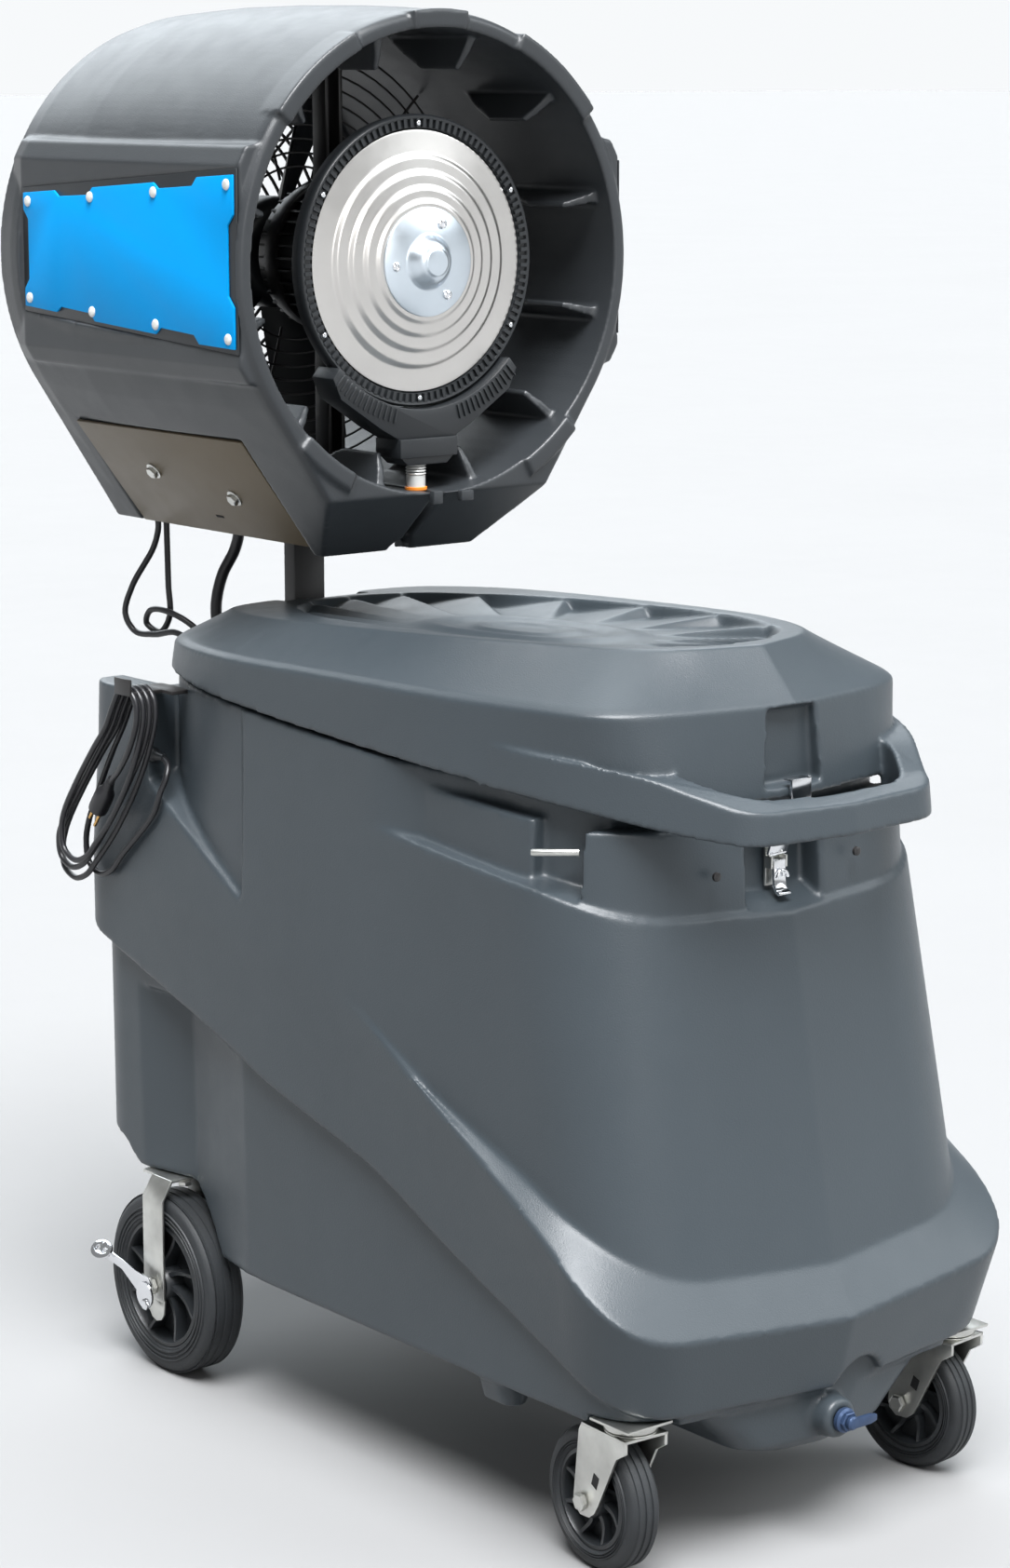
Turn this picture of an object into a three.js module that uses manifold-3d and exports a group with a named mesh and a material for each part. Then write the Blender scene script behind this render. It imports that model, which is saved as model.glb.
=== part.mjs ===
// Evaporative cooler: a rolling water tank with a lift-off lid, and a fan head that pans on a short mast.
// Millimetres, +Z up, ground at Z = 0, air outlet and carry handle towards -Y, X = 0 the plane of symmetry.
// Heights are above the ground. Lengths along Y are measured from the middle of the tank, and the whole
// object is moved by datumShift at the end, so that the origin is the bottom centre of its box.
import * as THREE from 'three';
import { mergeVertices } from 'three/addons/utils/BufferGeometryUtils.js';
import Module from 'manifold-3d';

const wasm = await Module();
wasm.setup();

// ---- Driving dimensions -------------------------------------------------------------------------
const gap = 0.3;                 // clearance between pieces that rest on each other
const datumShift = -61;

const tankHalfWidth = 256;
const tankFront = -455;          // front wall at the foot of the bumper slope
const tankRear = 500;
const seamHeight = 757;          // lid seam at Y = 0
const seamSlope = 0.067;
const tankWall = 8;

const headAxis = 1213;           // height of the fan axis
const headRadius = 258;
const ductRadius = 240;
const headFront = 152;
const headRear = 612;
const chinHeight = 905;
const chinHalfWidth = 100;

const mast = { y: 399, width: 42, depth: 20, foot: 566, top: 906 };
const yokeFlat = { corner: [104, 914], tip: [192, 1030], front: 244, rear: 560, thickness: 4 };
const bay = { halfWidth: 110, front: 372, floor: 560 };

const casterSeat = 222;          // underside that the rear casters bolt to
const frontSeat = 162;           // underside that the front casters bolt to
const tankFloor = 152;
const rearWheel = { x: 220, y: 348, radius: 101.5, width: 50 };
const frontWheel = { x: 214, y: -365, radius: 72, width: 38, trail: 42 };

const drain = { z: 129, front: -472, radius: 9 };

// ---- Materials ----------------------------------------------------------------------------------
const material = (color, roughness, metalness = 0) =>
  new THREE.MeshStandardMaterial({ color, roughness, metalness });
const plastic = material(0x4a4f53, 0.6);
const darkPlastic = material(0x1c1e20, 0.5);
const rubber = material(0x1b1b1c, 0.85);
const zinc = material(0xb9bcb8, 0.35, 1);
const chrome = material(0xd5d8da, 0.15, 1);
const blackSteel = material(0x1a1a1b, 0.45, 0.6);
const taupeSteel = material(0x6a6259, 0.5, 0.2);
const discSteel = material(0xc9c5bd, 0.4, 1);
const bluePaint = material(0x0c7fd0, 0.35);
const cordRubber = material(0x151516, 0.6);

// ---- Shared helpers -----------------------------------------------------------------------------
const group = new THREE.Group();

function add(name, geometry, look) {
  const mesh = new THREE.Mesh(geometry, look);
  mesh.name = name;
  group.add(mesh);
  return mesh;
}

// A three.js geometry as a manifold-3d solid.
function solid(geometry) {
  const bare = geometry.clone();
  bare.deleteAttribute('normal');
  bare.deleteAttribute('uv');
  const merged = mergeVertices(bare, 1e-4);
  return new wasm.Manifold(new wasm.Mesh({
    numProp: 3,
    vertProperties: new Float32Array(merged.attributes.position.array),
    triVerts: new Uint32Array(merged.index.array),
  }));
}

function geometryOf(body) {
  const mesh = body.getMesh();
  const geometry = new THREE.BufferGeometry();
  geometry.setAttribute('position', new THREE.BufferAttribute(new Float32Array(mesh.vertProperties), 3));
  geometry.setIndex(new THREE.BufferAttribute(new Uint32Array(mesh.triVerts), 1));
  return geometry;
}

const join = (...geometries) => geometryOf(geometries.map(solid).reduce((a, b) => a.add(b)));
const cut = (geometry, ...tools) =>
  geometryOf(tools.map(solid).reduce((a, b) => a.subtract(b), solid(geometry)));
const common = (a, b) => geometryOf(solid(a).intersect(solid(b)));

// A box from its lowest and highest corners.
function box(low, high) {
  const size = high.map((value, i) => value - low[i]);
  const middle = high.map((value, i) => (value + low[i]) / 2);
  return new THREE.BoxGeometry(...size).translate(...middle);
}

// A cylinder between two heights of its own axis, along X, Y or Z, through the point [x, y, z].
function rod(axis, radius, from, to, [x, y, z], sides = 16) {
  const geometry = new THREE.CylinderGeometry(radius, radius, to - from, sides);
  const middle = (from + to) / 2;
  if (axis === 'x') return geometry.rotateZ(Math.PI / 2).translate(x + middle, y, z);
  if (axis === 'y') return geometry.translate(x, y + middle, z);
  return geometry.rotateX(Math.PI / 2).translate(x, y, z + middle);
}

// A flat outline given thickness along X, Y or Z; its points are [y, z], [x, z] or [x, y].
function plate(axis, points, from, to) {
  const outline = new THREE.Shape(points.map(([u, v]) => new THREE.Vector2(u, v)));
  const geometry = new THREE.ExtrudeGeometry(outline, { depth: to - from, bevelEnabled: false });
  const [x, y, z] = [[1, 0, 0], [0, 1, 0], [0, 0, 1]].map((v) => new THREE.Vector3(...v));
  if (axis === 'x') {
    return geometry.applyMatrix4(new THREE.Matrix4().makeBasis(y, z, x)).translate(from, 0, 0);
  }
  if (axis === 'y') return geometry.rotateX(Math.PI / 2).translate(0, to, 0);
  return geometry.translate(0, 0, from);
}

// A closed ring or disc turned about an axis along X or Y; its profile is [radius, distance along the axis].
function turned(axis, profilePoints, [x, y, z], sides) {
  const points = profilePoints.map(([radius, along]) => new THREE.Vector2(radius, along));
  const geometry = new THREE.LatheGeometry(points, sides);
  if (axis === 'x') geometry.rotateZ(-Math.PI / 2).rotateX(Math.PI / sides);
  return geometry.translate(x, y, z);
}

// A tube of the given radius along a smooth curve through the points.
function tube(points, radius, steps, sides = 8) {
  const curve = new THREE.CatmullRomCurve3(points.map((p) => new THREE.Vector3(...p)), false, 'centripetal');
  const circle = new THREE.Path().absarc(0, 0, radius, 0, 2 * Math.PI);
  const section = new THREE.Shape(circle.getPoints(sides / 2).slice(0, -1));
  return new THREE.ExtrudeGeometry(section, { steps, extrudePath: curve, bevelEnabled: false });
}

function flipped(geometry) {
  const copy = geometryOf(solid(geometry));
  return facingOut(copy.scale(-1, 1, 1));
}

// A solid skinned over rings with the same number of points. Each end is a fan about its middle, so an end
// ring's outline has to be open to its own middle.
function loft(rings) {
  const count = rings[0].length;
  const points = rings.flat();
  const triangles = [];
  for (let i = 0; i + 1 < rings.length; i += 1) {
    for (let j = 0; j < count; j += 1) {
      const k = (j + 1) % count;
      const [a, b, c, d] = [i * count + j, i * count + k, (i + 1) * count + k, (i + 1) * count + j];
      triangles.push([a, b, c], [a, c, d]);
    }
  }
  for (const [ring, start] of [[rings[0], 0], [rings[rings.length - 1], (rings.length - 1) * count]]) {
    const middle = ring.reduce((sum, p) => sum.add(p), new THREE.Vector3()).divideScalar(count);
    for (let j = 0; j < count; j += 1) {
      const edge = [start + j, start + ((j + 1) % count)];
      triangles.push([...(start === 0 ? edge.reverse() : edge), points.length]);
    }
    points.push(middle);
  }
  const geometry = new THREE.BufferGeometry();
  const coordinates = points.flatMap((p) => [p.x, p.y, p.z]);
  geometry.setAttribute('position', new THREE.Float32BufferAttribute(coordinates, 3));
  geometry.setIndex(triangles.flat());
  return facingOut(geometry);
}

// Turns a closed surface so that its faces point out.
function facingOut(geometry) {
  const [p, index] = [geometry.attributes.position, geometry.index];
  const corner = (i) => new THREE.Vector3().fromBufferAttribute(p, index.getX(i));
  let volume = 0;
  for (let i = 0; i < index.count; i += 3) {
    volume += corner(i).dot(corner(i + 1).cross(corner(i + 2)));
  }
  if (volume < 0) geometry.setIndex(Array.from(index.array).reverse());
  return geometry;
}

// Points along a half outline that starts and ends on X = 0; each corner is [x, y, rounding].
function halfOutline(corners, steps) {
  const path = new THREE.Path();
  path.moveTo(corners[0][0], corners[0][1]);
  for (let i = 1; i < corners.length - 1; i += 1) {
    const here = new THREE.Vector2(corners[i][0], corners[i][1]);
    const towards = (other) => {
      const step = new THREE.Vector2(other[0], other[1]).sub(here);
      return here.clone().add(step.setLength(Math.min(corners[i][2], step.length() * 0.48)));
    };
    const [entry, exit] = [towards(corners[i - 1]), towards(corners[i + 1])];
    path.lineTo(entry.x, entry.y);
    path.quadraticCurveTo(here.x, here.y, exit.x, exit.y);
  }
  path.lineTo(...corners[corners.length - 1].slice(0, 2));
  return path.getSpacedPoints(steps);
}

const mirrored = (half) => [...half, ...half.slice(1, -1).reverse().map((p) => new THREE.Vector2(-p.x, p.y))];

// Moves each point of a ring out along its normal by amount(y); in, where amount is negative.
function pushed(points, amount) {
  return points.map((p, i) => {
    const before = points[(i + points.length - 1) % points.length];
    const after = points[(i + 1) % points.length];
    const along = after.clone().sub(before).normalize();
    return new THREE.Vector2(p.x + along.y * amount(p.y), p.y - along.x * amount(p.y));
  });
}

const at = (points, height) =>
  points.map((p) => new THREE.Vector3(p.x, p.y, typeof height === 'function' ? height(p.y) : height));

// A height that follows straight stretches between stations [y, z] along the body.
const profile = (stations) => (y) => {
  if (y <= stations[0][0]) return stations[0][1];
  const next = stations.findIndex((station) => station[0] > y);
  if (next < 0) return stations[stations.length - 1][1];
  const [[y0, z0], [y1, z1]] = [stations[next - 1], stations[next]];
  return z0 + ((z1 - z0) * (y - y0)) / (y1 - y0);
};

const seam = (y) => seamHeight + seamSlope * y;

// ---- Tank ---------------------------------------------------------------------------------------
// Body lines, as heights along Y: the overhang's lower edge, the bumper's outer edge, the foot of the
// wall above the bumper, and the ledge under the lid.
const overhang = profile([[-470, 163], [-436, 205], [-362, 226], [-277, 238], [-183, 273], [-56, 331],
  [124, 377], [213, 408], [452, 473], [510, 490]]);
const bumperEdge = profile([[-487, 228], [-451, 255], [-422, 280], [-345, 332], [-190, 415], [-28, 493],
  [500, 560]]);
const wallFoot = profile([[-455, 276], [-425, 299], [-370, 338], [-287, 380], [-133, 436], [-28, 500],
  [500, 575]]);
const ledge = profile([[-392, 615], [-350, 636], [-295, 655], [-70, 678], [500, 700]]);

const tankSteps = 34;

// The tank's plan outline: front line, front corner and its rounding, with side and rear a given inset in.
function tankOutline(front, corner, rounding, inset = 0, rearRounding = 55) {
  const half = tankHalfWidth - inset;
  return mirrored(halfOutline([
    [0, front],
    [corner, front + 28, rounding],
    [half, -60, 160],
    [half, 180, 160],
    [half - 16, tankRear - inset, rearRounding],
    [0, tankRear - inset],
  ], tankSteps));
}

const pocketDepth = (y) => -profile([[-392, 32], [-200, 32], [-60, 0]])(y);

function tankBody() {
  return loft([
    at(tankOutline(-446, 238, 50, 14), tankFloor),
    at(tankOutline(-450, 242, 60, 13), overhang),
    at(tankOutline(-470, 262, 70, 0), (y) => overhang(y) + 3),
    at(pushed(tankOutline(-470, 262, 70, 0), profile([[-487, 17], [-400, 12], [-28, 0]])), bumperEdge),
    at(tankOutline(tankFront, 244, 110, 0), wallFoot),
    at(tankOutline(-392, 236, 120, 6), ledge),
    at(pushed(tankOutline(-390, 236, 120, 6), pocketDepth), (y) => ledge(y) + 4),
    at(pushed(tankOutline(-384, 232, 120, 8), pocketDepth), (y) => seam(y) - gap),
  ]);
}

// The upright band between ledge and lid, standing a given inset inside the wall below it.
function upperBand(inset) {
  return loft([
    at(tankOutline(-391 + inset, 236 - inset, 120, 6 + inset), 600),
    at(tankOutline(-384 + inset, 232 - inset, 120, 8 + inset), (y) => seam(y) - 22),
  ]);
}

function tankBosses() {
  const sideBand = common(upperBand(12), box([-300, -268, 590], [300, 120, 800]));
  const bosses = [-1, 1].map((side) => {
    const [inner, outer] = [side * 48, side * 260];
    return common(upperBand(2), box([Math.min(inner, outer), -420, 590], [Math.max(inner, outer), -325, 800]));
  });
  return [sideBand, ...bosses];
}

// The water space: inset by the wall, narrow above the ledge, and clear of the wheel bays and mast bay.
function tankCavity() {
  const rearWall = bay.front - tankWall;
  const space = (front, corner, inset, height) => at(mirrored(halfOutline([
    [0, front], [corner, front + 28, 100], [tankHalfWidth - inset, -60, 160],
    [tankHalfWidth - inset, rearWall, 30], [0, rearWall],
  ], 24)), height);
  const basin = loft([
    space(-430, 212, 22, tankFloor + tankWall),
    space(-442, 230, 20, (y) => wallFoot(y) - 30),
    space(-442, 232, tankWall + 2, (y) => wallFoot(y) + 6),
    space(-386, 224, tankWall + 6, (y) => ledge(y) - 30),
    space(-350, 196, 46, (y) => ledge(y) - 8),
    space(-345, 192, 48, 830),
  ]);
  const wheelSide = box([-300, 230, 100], [300, 520, 238]);
  const rearSpace = box([-205, rearWall - 20, 272], [205, tankRear - 22, bay.floor - tankWall]);
  return cut(join(cut(basin, wheelSide), rearSpace), ...flankRecesses(tankWall + 2));
}

// The hollow in each flank ahead of the horn, made larger all round by grow.
function flankRecesses(grow) {
  return [-1, 1].map((side) => loft([
    [[300, 170, 566], [300, 356, 650], [300, 356, 800], [300, 170, 800]],
    [[252, 170, 566], [205, 356, 672], [205, 356, 800], [252, 170, 800]],
    [[190, 170, 640], [150, 356, 690], [150, 356, 800], [190, 170, 800]],
  ].map((ring) => ring.map(([x, y, z]) => new THREE.Vector3(side * (x - grow),
    y + Math.sign(y - 300) * grow, z - grow)))));
}

// Behind the lid the body is cut back to the lid's rounded end, leaving a horn at each rear corner.
function rearCuts() {
  const lidEnd = loft([at(lidOutline(6), 560), at(lidOutline(6), 830)]);
  const recesses = flankRecesses(0).map((recess) => cut(recess, lidEnd));
  const hornTops = box([-300, 352, 757], [300, 520, 830]);
  const mastBay = box([-bay.halfWidth, bay.front, bay.floor], [bay.halfWidth, tankRear + 10, 830]);
  const betweenHorns = box([-188, 392, 640], [188, tankRear + 10, 830]);
  return [...recesses, hornTops, mastBay, betweenHorns];
}

// The rear underside, arched over the rear wheels.
function wheelArch() {
  return plate('x', [[240, 100], [252, tankFloor], [262, 170], [276, 186], [296, 205], [318, casterSeat],
    [402, casterSeat], [440, 247], [520, 262], [520, 100]], -300, 300);
}

// Level seats for the front casters' plates, let into the underside.
function frontSeats() {
  const y = frontWheel.y - frontWheel.trail;
  return [-1, 1].map((side) => {
    const ends = [side * 178, side * 270].sort((a, b) => a - b);
    return box([ends[0], y - 50, 100], [ends[1], y + 36, frontSeat]);
  });
}

// The sump under the front, with the drain boss, and the small foot bumps ahead of the rear wheels.
function sump() {
  const level = (half, front, rear, z) =>
    at(mirrored(halfOutline([[0, front], [half, front + 8, 40], [half, rear, 30], [0, rear]], 12)), z);
  return loft([level(70, -446, -300, 96), level(98, -456, -270, 112), level(150, -452, -220, 160)]);
}

function tank() {
  const drainBoss = rod('y', 22, drain.front, drain.front + 40, [0, 0, drain.z], 20);
  const drainArch = rod('y', 28, -500, -458, [0, 0, drain.z + 14], 20);
  const arched = cut(join(tankBody(), sump(), ...tankBosses()), drainArch);
  return cut(join(arched, drainBoss), tankCavity(), ...rearCuts(), ...frontSeats(), wheelArch(),
    rod('y', drain.radius, drain.front - 40, drain.front + 16, [0, 0, drain.z], 16));
}

// ---- Lid ----------------------------------------------------------------------------------------
const lidSteps = 26;

function lidOutline(inset) {
  return mirrored(halfOutline([
    [0, -398 + inset],
    [170 - inset, -372 + inset, 60],
    [238 - inset, -230, 120],
    [252 - inset, 0, 160],
    [250 - inset, 250, 90],
    [205 - inset, 378 - inset, 90],
    [120 - inset, 416 - inset, 60],
    [0, 418 - inset],
  ], lidSteps));
}

function lidLevel(corners, height) {
  return at(mirrored(halfOutline(corners, lidSteps)), height);
}

const shoulderHeight = profile([[-390, 826], [-20, 825], [420, 815]]);
const plateauHeight = profile([[-345, 872], [-180, 868], [140, 852], [400, 838]]);

const shoulder = (inset) => [[0, -390 + inset], [150 - inset, -357 + inset, 50], [200 - inset, -322 + inset, 50],
  [243 - inset, -120, 120], [247 - inset, 230, 90], [200 - inset, 372 - inset, 90],
  [120 - inset, 410 - inset, 60], [0, 412 - inset]];
const plateau = [[0, -345], [105, -310, 60], [152, -190, 90], [171, 0, 120], [176, 230, 80], [150, 330, 60],
  [110, 372, 50], [0, 376]];
const dish = [[0, -322], [92, -290, 60], [136, -180, 90], [152, 0, 120], [150, 200, 80], [120, 300, 60],
  [80, 330, 50], [0, 334]];

// The lip that flares out of the lid's sides and runs round the front as the carry handle.
const handleFoot = profile([[-478, 706], [-440, 708], [-335, 730], [-250, 741]]);
const handleTop = profile([[-478, 742], [-430, 748], [-380, 770], [-320, 778], [-90, 788]]);
function handleBand() {
  const outline = mirrored(halfOutline([[0, -478], [118, -466, 30], [205, -338, 60], [246, -200, 60],
    [236, -20, 30], [0, -20]], lidSteps));
  return loft([at(outline, handleFoot), at(pushed(outline, () => -3), handleTop)]);
}

// The pocket in the lid's front that the latch hooks into.
const latchPocket = { floor: 742, back: -376 };

function lid() {
  const skin = 7;
  const outer = loft([
    at(lidOutline(0), (y) => seam(y) + gap),
    lidLevel(shoulder(-3), (y) => shoulderHeight(y) - 6),
    lidLevel(shoulder(3), shoulderHeight),
    lidLevel(plateau, plateauHeight),
  ]);
  const inner = loft([
    at(lidOutline(skin + 6), (y) => seam(y) - 40),
    lidLevel(shoulder(skin + 6), (y) => shoulderHeight(y) - skin),
    lidLevel(plateau, (y) => plateauHeight(y) - 20),
  ]);
  const topDish = loft([
    lidLevel(dish.map(([x, y, r]) => [x * 0.94, y * 0.95, r]), (y) => plateauHeight(y) - 9),
    lidLevel(dish, (y) => plateauHeight(y) + 1),
  ]);
  const fingerGap = loft([680, 790].map((z) => at(mirrored(halfOutline([[0, -447], [98, -440, 30],
    [135, -385, 20], [133, -366, 4], [0, -380]], 16)), z)));
  const latchBlock = box([-48, -410, 700], [48, latchPocket.back + skin, 840]);
  const bodyFront = cut(outer, cut(inner, latchBlock), topDish);
  const { floor, back } = latchPocket;
  const latchRecess = loft([
    [[-38, floor], [38, floor], [32, 824], [-32, 824]].map(([x, z]) => new THREE.Vector3(x, -420, z)),
    [[-36, floor], [36, floor], [30, 816], [-30, 816]].map(([x, z]) => new THREE.Vector3(x, back, z)),
  ]);
  const mastNotch = box([-46, 360, 700], [46, 440, 900]);
  const insideBand = loft([at(lidOutline(skin + 6), 600), at(lidOutline(skin + 6), 820)]);
  const band = cut(handleBand(), insideBand, fingerGap);
  const belowSeam = loft([at(lidOutline(2), 600), at(lidOutline(2), (y) => seam(y) + gap)]);
  return cut(join(bodyFront, cut(band, belowSeam)), mastNotch, latchRecess);
}

// ---- Head ---------------------------------------------------------------------------------------
const mirroredSection = (half, y) => mirrored(half).map((p) => new THREE.Vector3(p.x, y, p.y));

// The shell's section: round, with straight flanks running down to a flat chin.
function headSection(radius, y) {
  const [flankStart, steps] = [THREE.MathUtils.degToRad(123), 20];
  const half = [];
  for (let i = 0; i <= steps; i += 1) {
    const angle = (flankStart * i) / steps;
    half.push(new THREE.Vector2(radius * Math.sin(angle), headAxis + radius * Math.cos(angle)));
  }
  half.push(new THREE.Vector2(chinHalfWidth, chinHeight), new THREE.Vector2(0, chinHeight));
  return mirroredSection(half, y);
}

const panelCorners = [[158, 1316], [158, 1127], [564, 1152], [564, 1287]];
const panelFace = 250;

function duct() {
  return turned('y', [[0, headFront - 20], [ductRadius, headFront - 20], [ductRadius, headRear - 24],
    [ductRadius - 8, headRear - 22], [ductRadius - 8, headRear + 20], [0, headRear + 20]], [0, 0, headAxis], 48);
}

// A tapered flow-straightening fin standing in from the duct wall at an angle from straight down.
function ductFin(degrees) {
  const level = (radius, y0, y1, thickness) => [[-thickness, y0], [thickness, y0], [thickness, y1], [-thickness, y1]]
    .map(([x, y]) => new THREE.Vector3(x, y, -radius));
  return loft([level(ductRadius + 6, 172, 330, 5), level(ductRadius - 36, 186, 250, 2.5)])
    .rotateY(-THREE.MathUtils.degToRad(degrees)).translate(0, 0, headAxis);
}

// The bent-sheet outline between two depths inside its outer face, with each wing longer by grow.
function yokeShape(from, to, grow) {
  const [corner, tip] = [yokeFlat.corner, yokeFlat.tip].map(([x, z]) => new THREE.Vector2(x, z));
  const along = tip.clone().sub(corner).normalize();
  const inward = new THREE.Vector2(-along.y, along.x);
  const end = tip.addScaledVector(along, grow);
  const bend = (depth) =>
    corner.clone().addScaledVector(inward, depth).addScaledVector(along, (depth * (1 - inward.y)) / along.y);
  const wingEnd = (depth) => end.clone().addScaledVector(inward, depth);
  const right = [bend(from), wingEnd(from), wingEnd(to), bend(to)];
  const left = [...right].reverse().map((p) => new THREE.Vector2(-p.x, p.y));
  return [...right, ...left].map((p) => [p.x, p.y]);
}

function headShell() {
  const outer = loft([headSection(252, headFront), headSection(258, headFront + 12), headSection(264, 290),
    headSection(264, 470), headSection(258, 580), headSection(252, headRear)]);
  const padLevel = (y, inset) => [[200, 1090], [240, 1098], [251, 1116], [251, 1316], [240, 1336], [200, 1345]]
    .map(([x, z]) => new THREE.Vector3(x - inset, y, z));
  const flankPad = loft([padLevel(headFront + 6, 0), padLevel(566, 0), padLevel(600, 12)]);
  const panelSeat = plate('x', panelCorners, panelFace, 300);
  const chinSlope = plate('x', [[100, 973], [headFront, 973], [243.5, 890], [100, 890]], -200, 200);
  const slit = box([-5, 100, 860], [5, 700, headAxis - ductRadius + 30]);
  const [seatFront, seatRear] = [yokeFlat.front - 1, yokeFlat.rear + 1];
  const flat = yokeFlat.corner[1];
  const yokeSeat = plate('y', yokeShape(-10, yokeFlat.thickness + gap, 2), seatFront, seatRear);
  const underYoke = box([-140, seatFront, 860], [140, seatRear, flat + yokeFlat.thickness + gap]);
  const chinRear = box([-140, yokeFlat.rear, 860], [140, headRear + 5, flat + gap]);
  const wall = cut(join(outer, flankPad, flipped(flankPad)), panelSeat, flipped(panelSeat), chinSlope,
    yokeSeat, underYoke, chinRear, duct());
  const fins = [15, 45, 75, 105, 135, 165].flatMap((angle) => [ductFin(angle), ductFin(-angle)]);
  return cut(join(wall, ...fins), slit);
}

function sidePanel(side) {
  const inset = panelCorners.map(([y, z]) => [y + Math.sign(360 - y) * 3, z + Math.sign(headAxis - z) * 3]);
  const panel = plate('x', inset, panelFace + gap, panelFace + 5);
  return side < 0 ? flipped(panel) : panel;
}

function yoke() {
  return plate('y', yokeShape(0, yokeFlat.thickness, 0), yokeFlat.front, yokeFlat.rear);
}

// Rear wire guard: concentric rings held by radial wires, inside the shell's rear lip.
function rearGuard() {
  const [y, wire] = [594, 2];
  const ring = (radius) => turned('y', [[radius - wire, y - wire], [radius + wire, y - wire],
    [radius + wire, y + wire], [radius - wire, y + wire], [radius - wire, y - wire]], [0, 0, headAxis], 24);
  const rings = [50, 110, 170, ductRadius - 11].map(ring);
  const spokes = [0, 60, 120].map((angle) =>
    box([-(ductRadius - 11), y - wire + 1, -wire], [ductRadius - 11, y + wire + 1, wire])
      .rotateY(THREE.MathUtils.degToRad(angle + 8)).translate(0, 0, headAxis));
  return join(...rings, ...spokes);
}

const shaftRadius = 8;
const motor = { front: 262, rear: 392, radius: 72 };

function motorBody() {
  const body = turned('y', [[0, motor.front], [50, motor.front], [motor.radius, motor.front + 14],
    [motor.radius, motor.rear - 14], [50, motor.rear], [0, motor.rear]], [0, 0, headAxis], 28);
  return cut(body, rod('y', shaftRadius + gap, motor.front - 5, motor.rear + 5, [0, 0, headAxis], 12));
}

// Upright channel that carries the motor, from duct wall to duct wall, with a collar round the motor.
function motorStrut() {
  const halfWidth = 11.5;
  const reach = Math.sqrt((ductRadius - 1) ** 2 - halfWidth ** 2);
  const channel = box([-halfWidth, 336, headAxis - reach], [halfWidth, 360, headAxis + reach]);
  const collar = rod('y', motor.radius + 7, 339, 357, [0, 0, headAxis], 28);
  return cut(join(channel, collar), rod('y', motor.radius + gap, 200, 450, [0, 0, headAxis], 28));
}

function fan() {
  const y = 452;
  const hubProfile = [[0, y - 24], [52, y - 24], [60, y - 14], [60, y + 20], [0, y + 20]];
  const hub = turned('y', hubProfile, [0, 0, headAxis], 24);
  const blades = [0, 1, 2, 3, 4].map((i) => {
    const blade = loft([[50, 32], [225, 52]].map(([radius, chord]) => [[-chord, -3], [chord, -3], [chord, 3], [-chord, 3]]
      .map(([x, v]) => new THREE.Vector3(x, v, radius).applyAxisAngle(new THREE.Vector3(0, 0, 1), 0.52))));
    return blade.rotateY((i * 2 * Math.PI) / 5 + 0.3).translate(0, y, headAxis);
  });
  return cut(join(hub, ...blades), rod('y', shaftRadius + gap, y - 40, y + 40, [0, 0, headAxis], 12));
}

const discFace = 192;

// Atomiser disc: a stepped dish that rises towards its middle.
function atomiserDisc() {
  const steps = [[136, 0], [112, 0], [108, 5], [95, 5], [91, 10], [78, 10], [74, 15], [58, 15]];
  const front = steps.map(([radius, rise]) => [radius, discFace - rise]);
  const back = [[58, discFace - 11], [136, discFace + 4], [136, discFace]];
  return turned('y', [...front, ...back].reverse(), [0, 0, headAxis], 32);
}

// Hub plate with the domed centre cap, carried by the shaft.
function hubPlate() {
  const y = discFace - 15;
  return turned('y', [[0, y - 19], [18, y - 19], [26, y - 14], [29, y - 3], [57, y - 3], [57, y + 3], [57.7, y + 3],
    [57.7, y + 9], [30, y + 12], [0, y + 12]], [0, 0, headAxis], 24);
}

function slingerRing() {
  return turned('y', [[136.5, discFace], [150, discFace], [150, discFace + 34], [120, discFace + 34],
    [120, discFace + 30], [136.5, discFace + 26], [136.5, discFace]], [0, 0, headAxis], 32);
}

// Rear cover of the slinger ring, fixed to the motor by its neck.
function ringHousing() {
  const [y, neck] = [discFace + 36, 44];
  return turned('y', [[neck - 12, y], [146, y], [146, y + 5], [neck, y + 14], [neck, motor.front - gap],
    [neck - 12, motor.front - gap], [neck - 12, y]], [0, 0, headAxis], 28);
}

// Crescent gutter under the ring with its bracket box below.
function gutter() {
  const [inner, outer, halfAngle, steps] = [153, 172, 0.82, 12];
  const arc = (radius, flip) => Array.from({ length: steps + 1 }, (_, i) => {
    const angle = halfAngle * (1 - (2 * i) / steps) * flip;
    return [radius * Math.sin(angle), headAxis - radius * Math.cos(angle)];
  });
  const crescent = plate('y', [...arc(inner, 1), [-128, headAxis - 128], ...arc(outer, -1).slice(1, -1),
    [128, headAxis - 128]], 176, 236);
  const bracket = box([-32, 172, headAxis - 206], [32, 214, headAxis - 168]);
  return join(crescent, bracket);
}

function waterFitting() {
  return rod('z', 10, headAxis - 236, headAxis - 206 - gap, [-6, 188, 0], 12);
}

function panBearing() {
  return rod('z', 17, mast.top + gap, yokeFlat.corner[1] - gap, [0, mast.y, 0], 20);
}

// ---- Mast and rear bay --------------------------------------------------------------------------
function mastPieces() {
  const [halfWidth, halfDepth] = [mast.width / 2, mast.depth / 2];
  const tubeBody = box([-halfWidth, mast.y - halfDepth, mast.foot + gap],
    [halfWidth, mast.y + halfDepth, mast.top]);
  const foot = box([-48, bay.front + 4, bay.floor + gap], [48, mast.y + 28, mast.foot]);
  add('mast', tubeBody, blackSteel);
  add('mast_foot', foot, blackSteel);
}

const controlBox = { front: 436, rear: 494, halfWidth: 84, top: 716 };
const knob = { x: 30, z: 668, radius: 16 };

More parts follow.
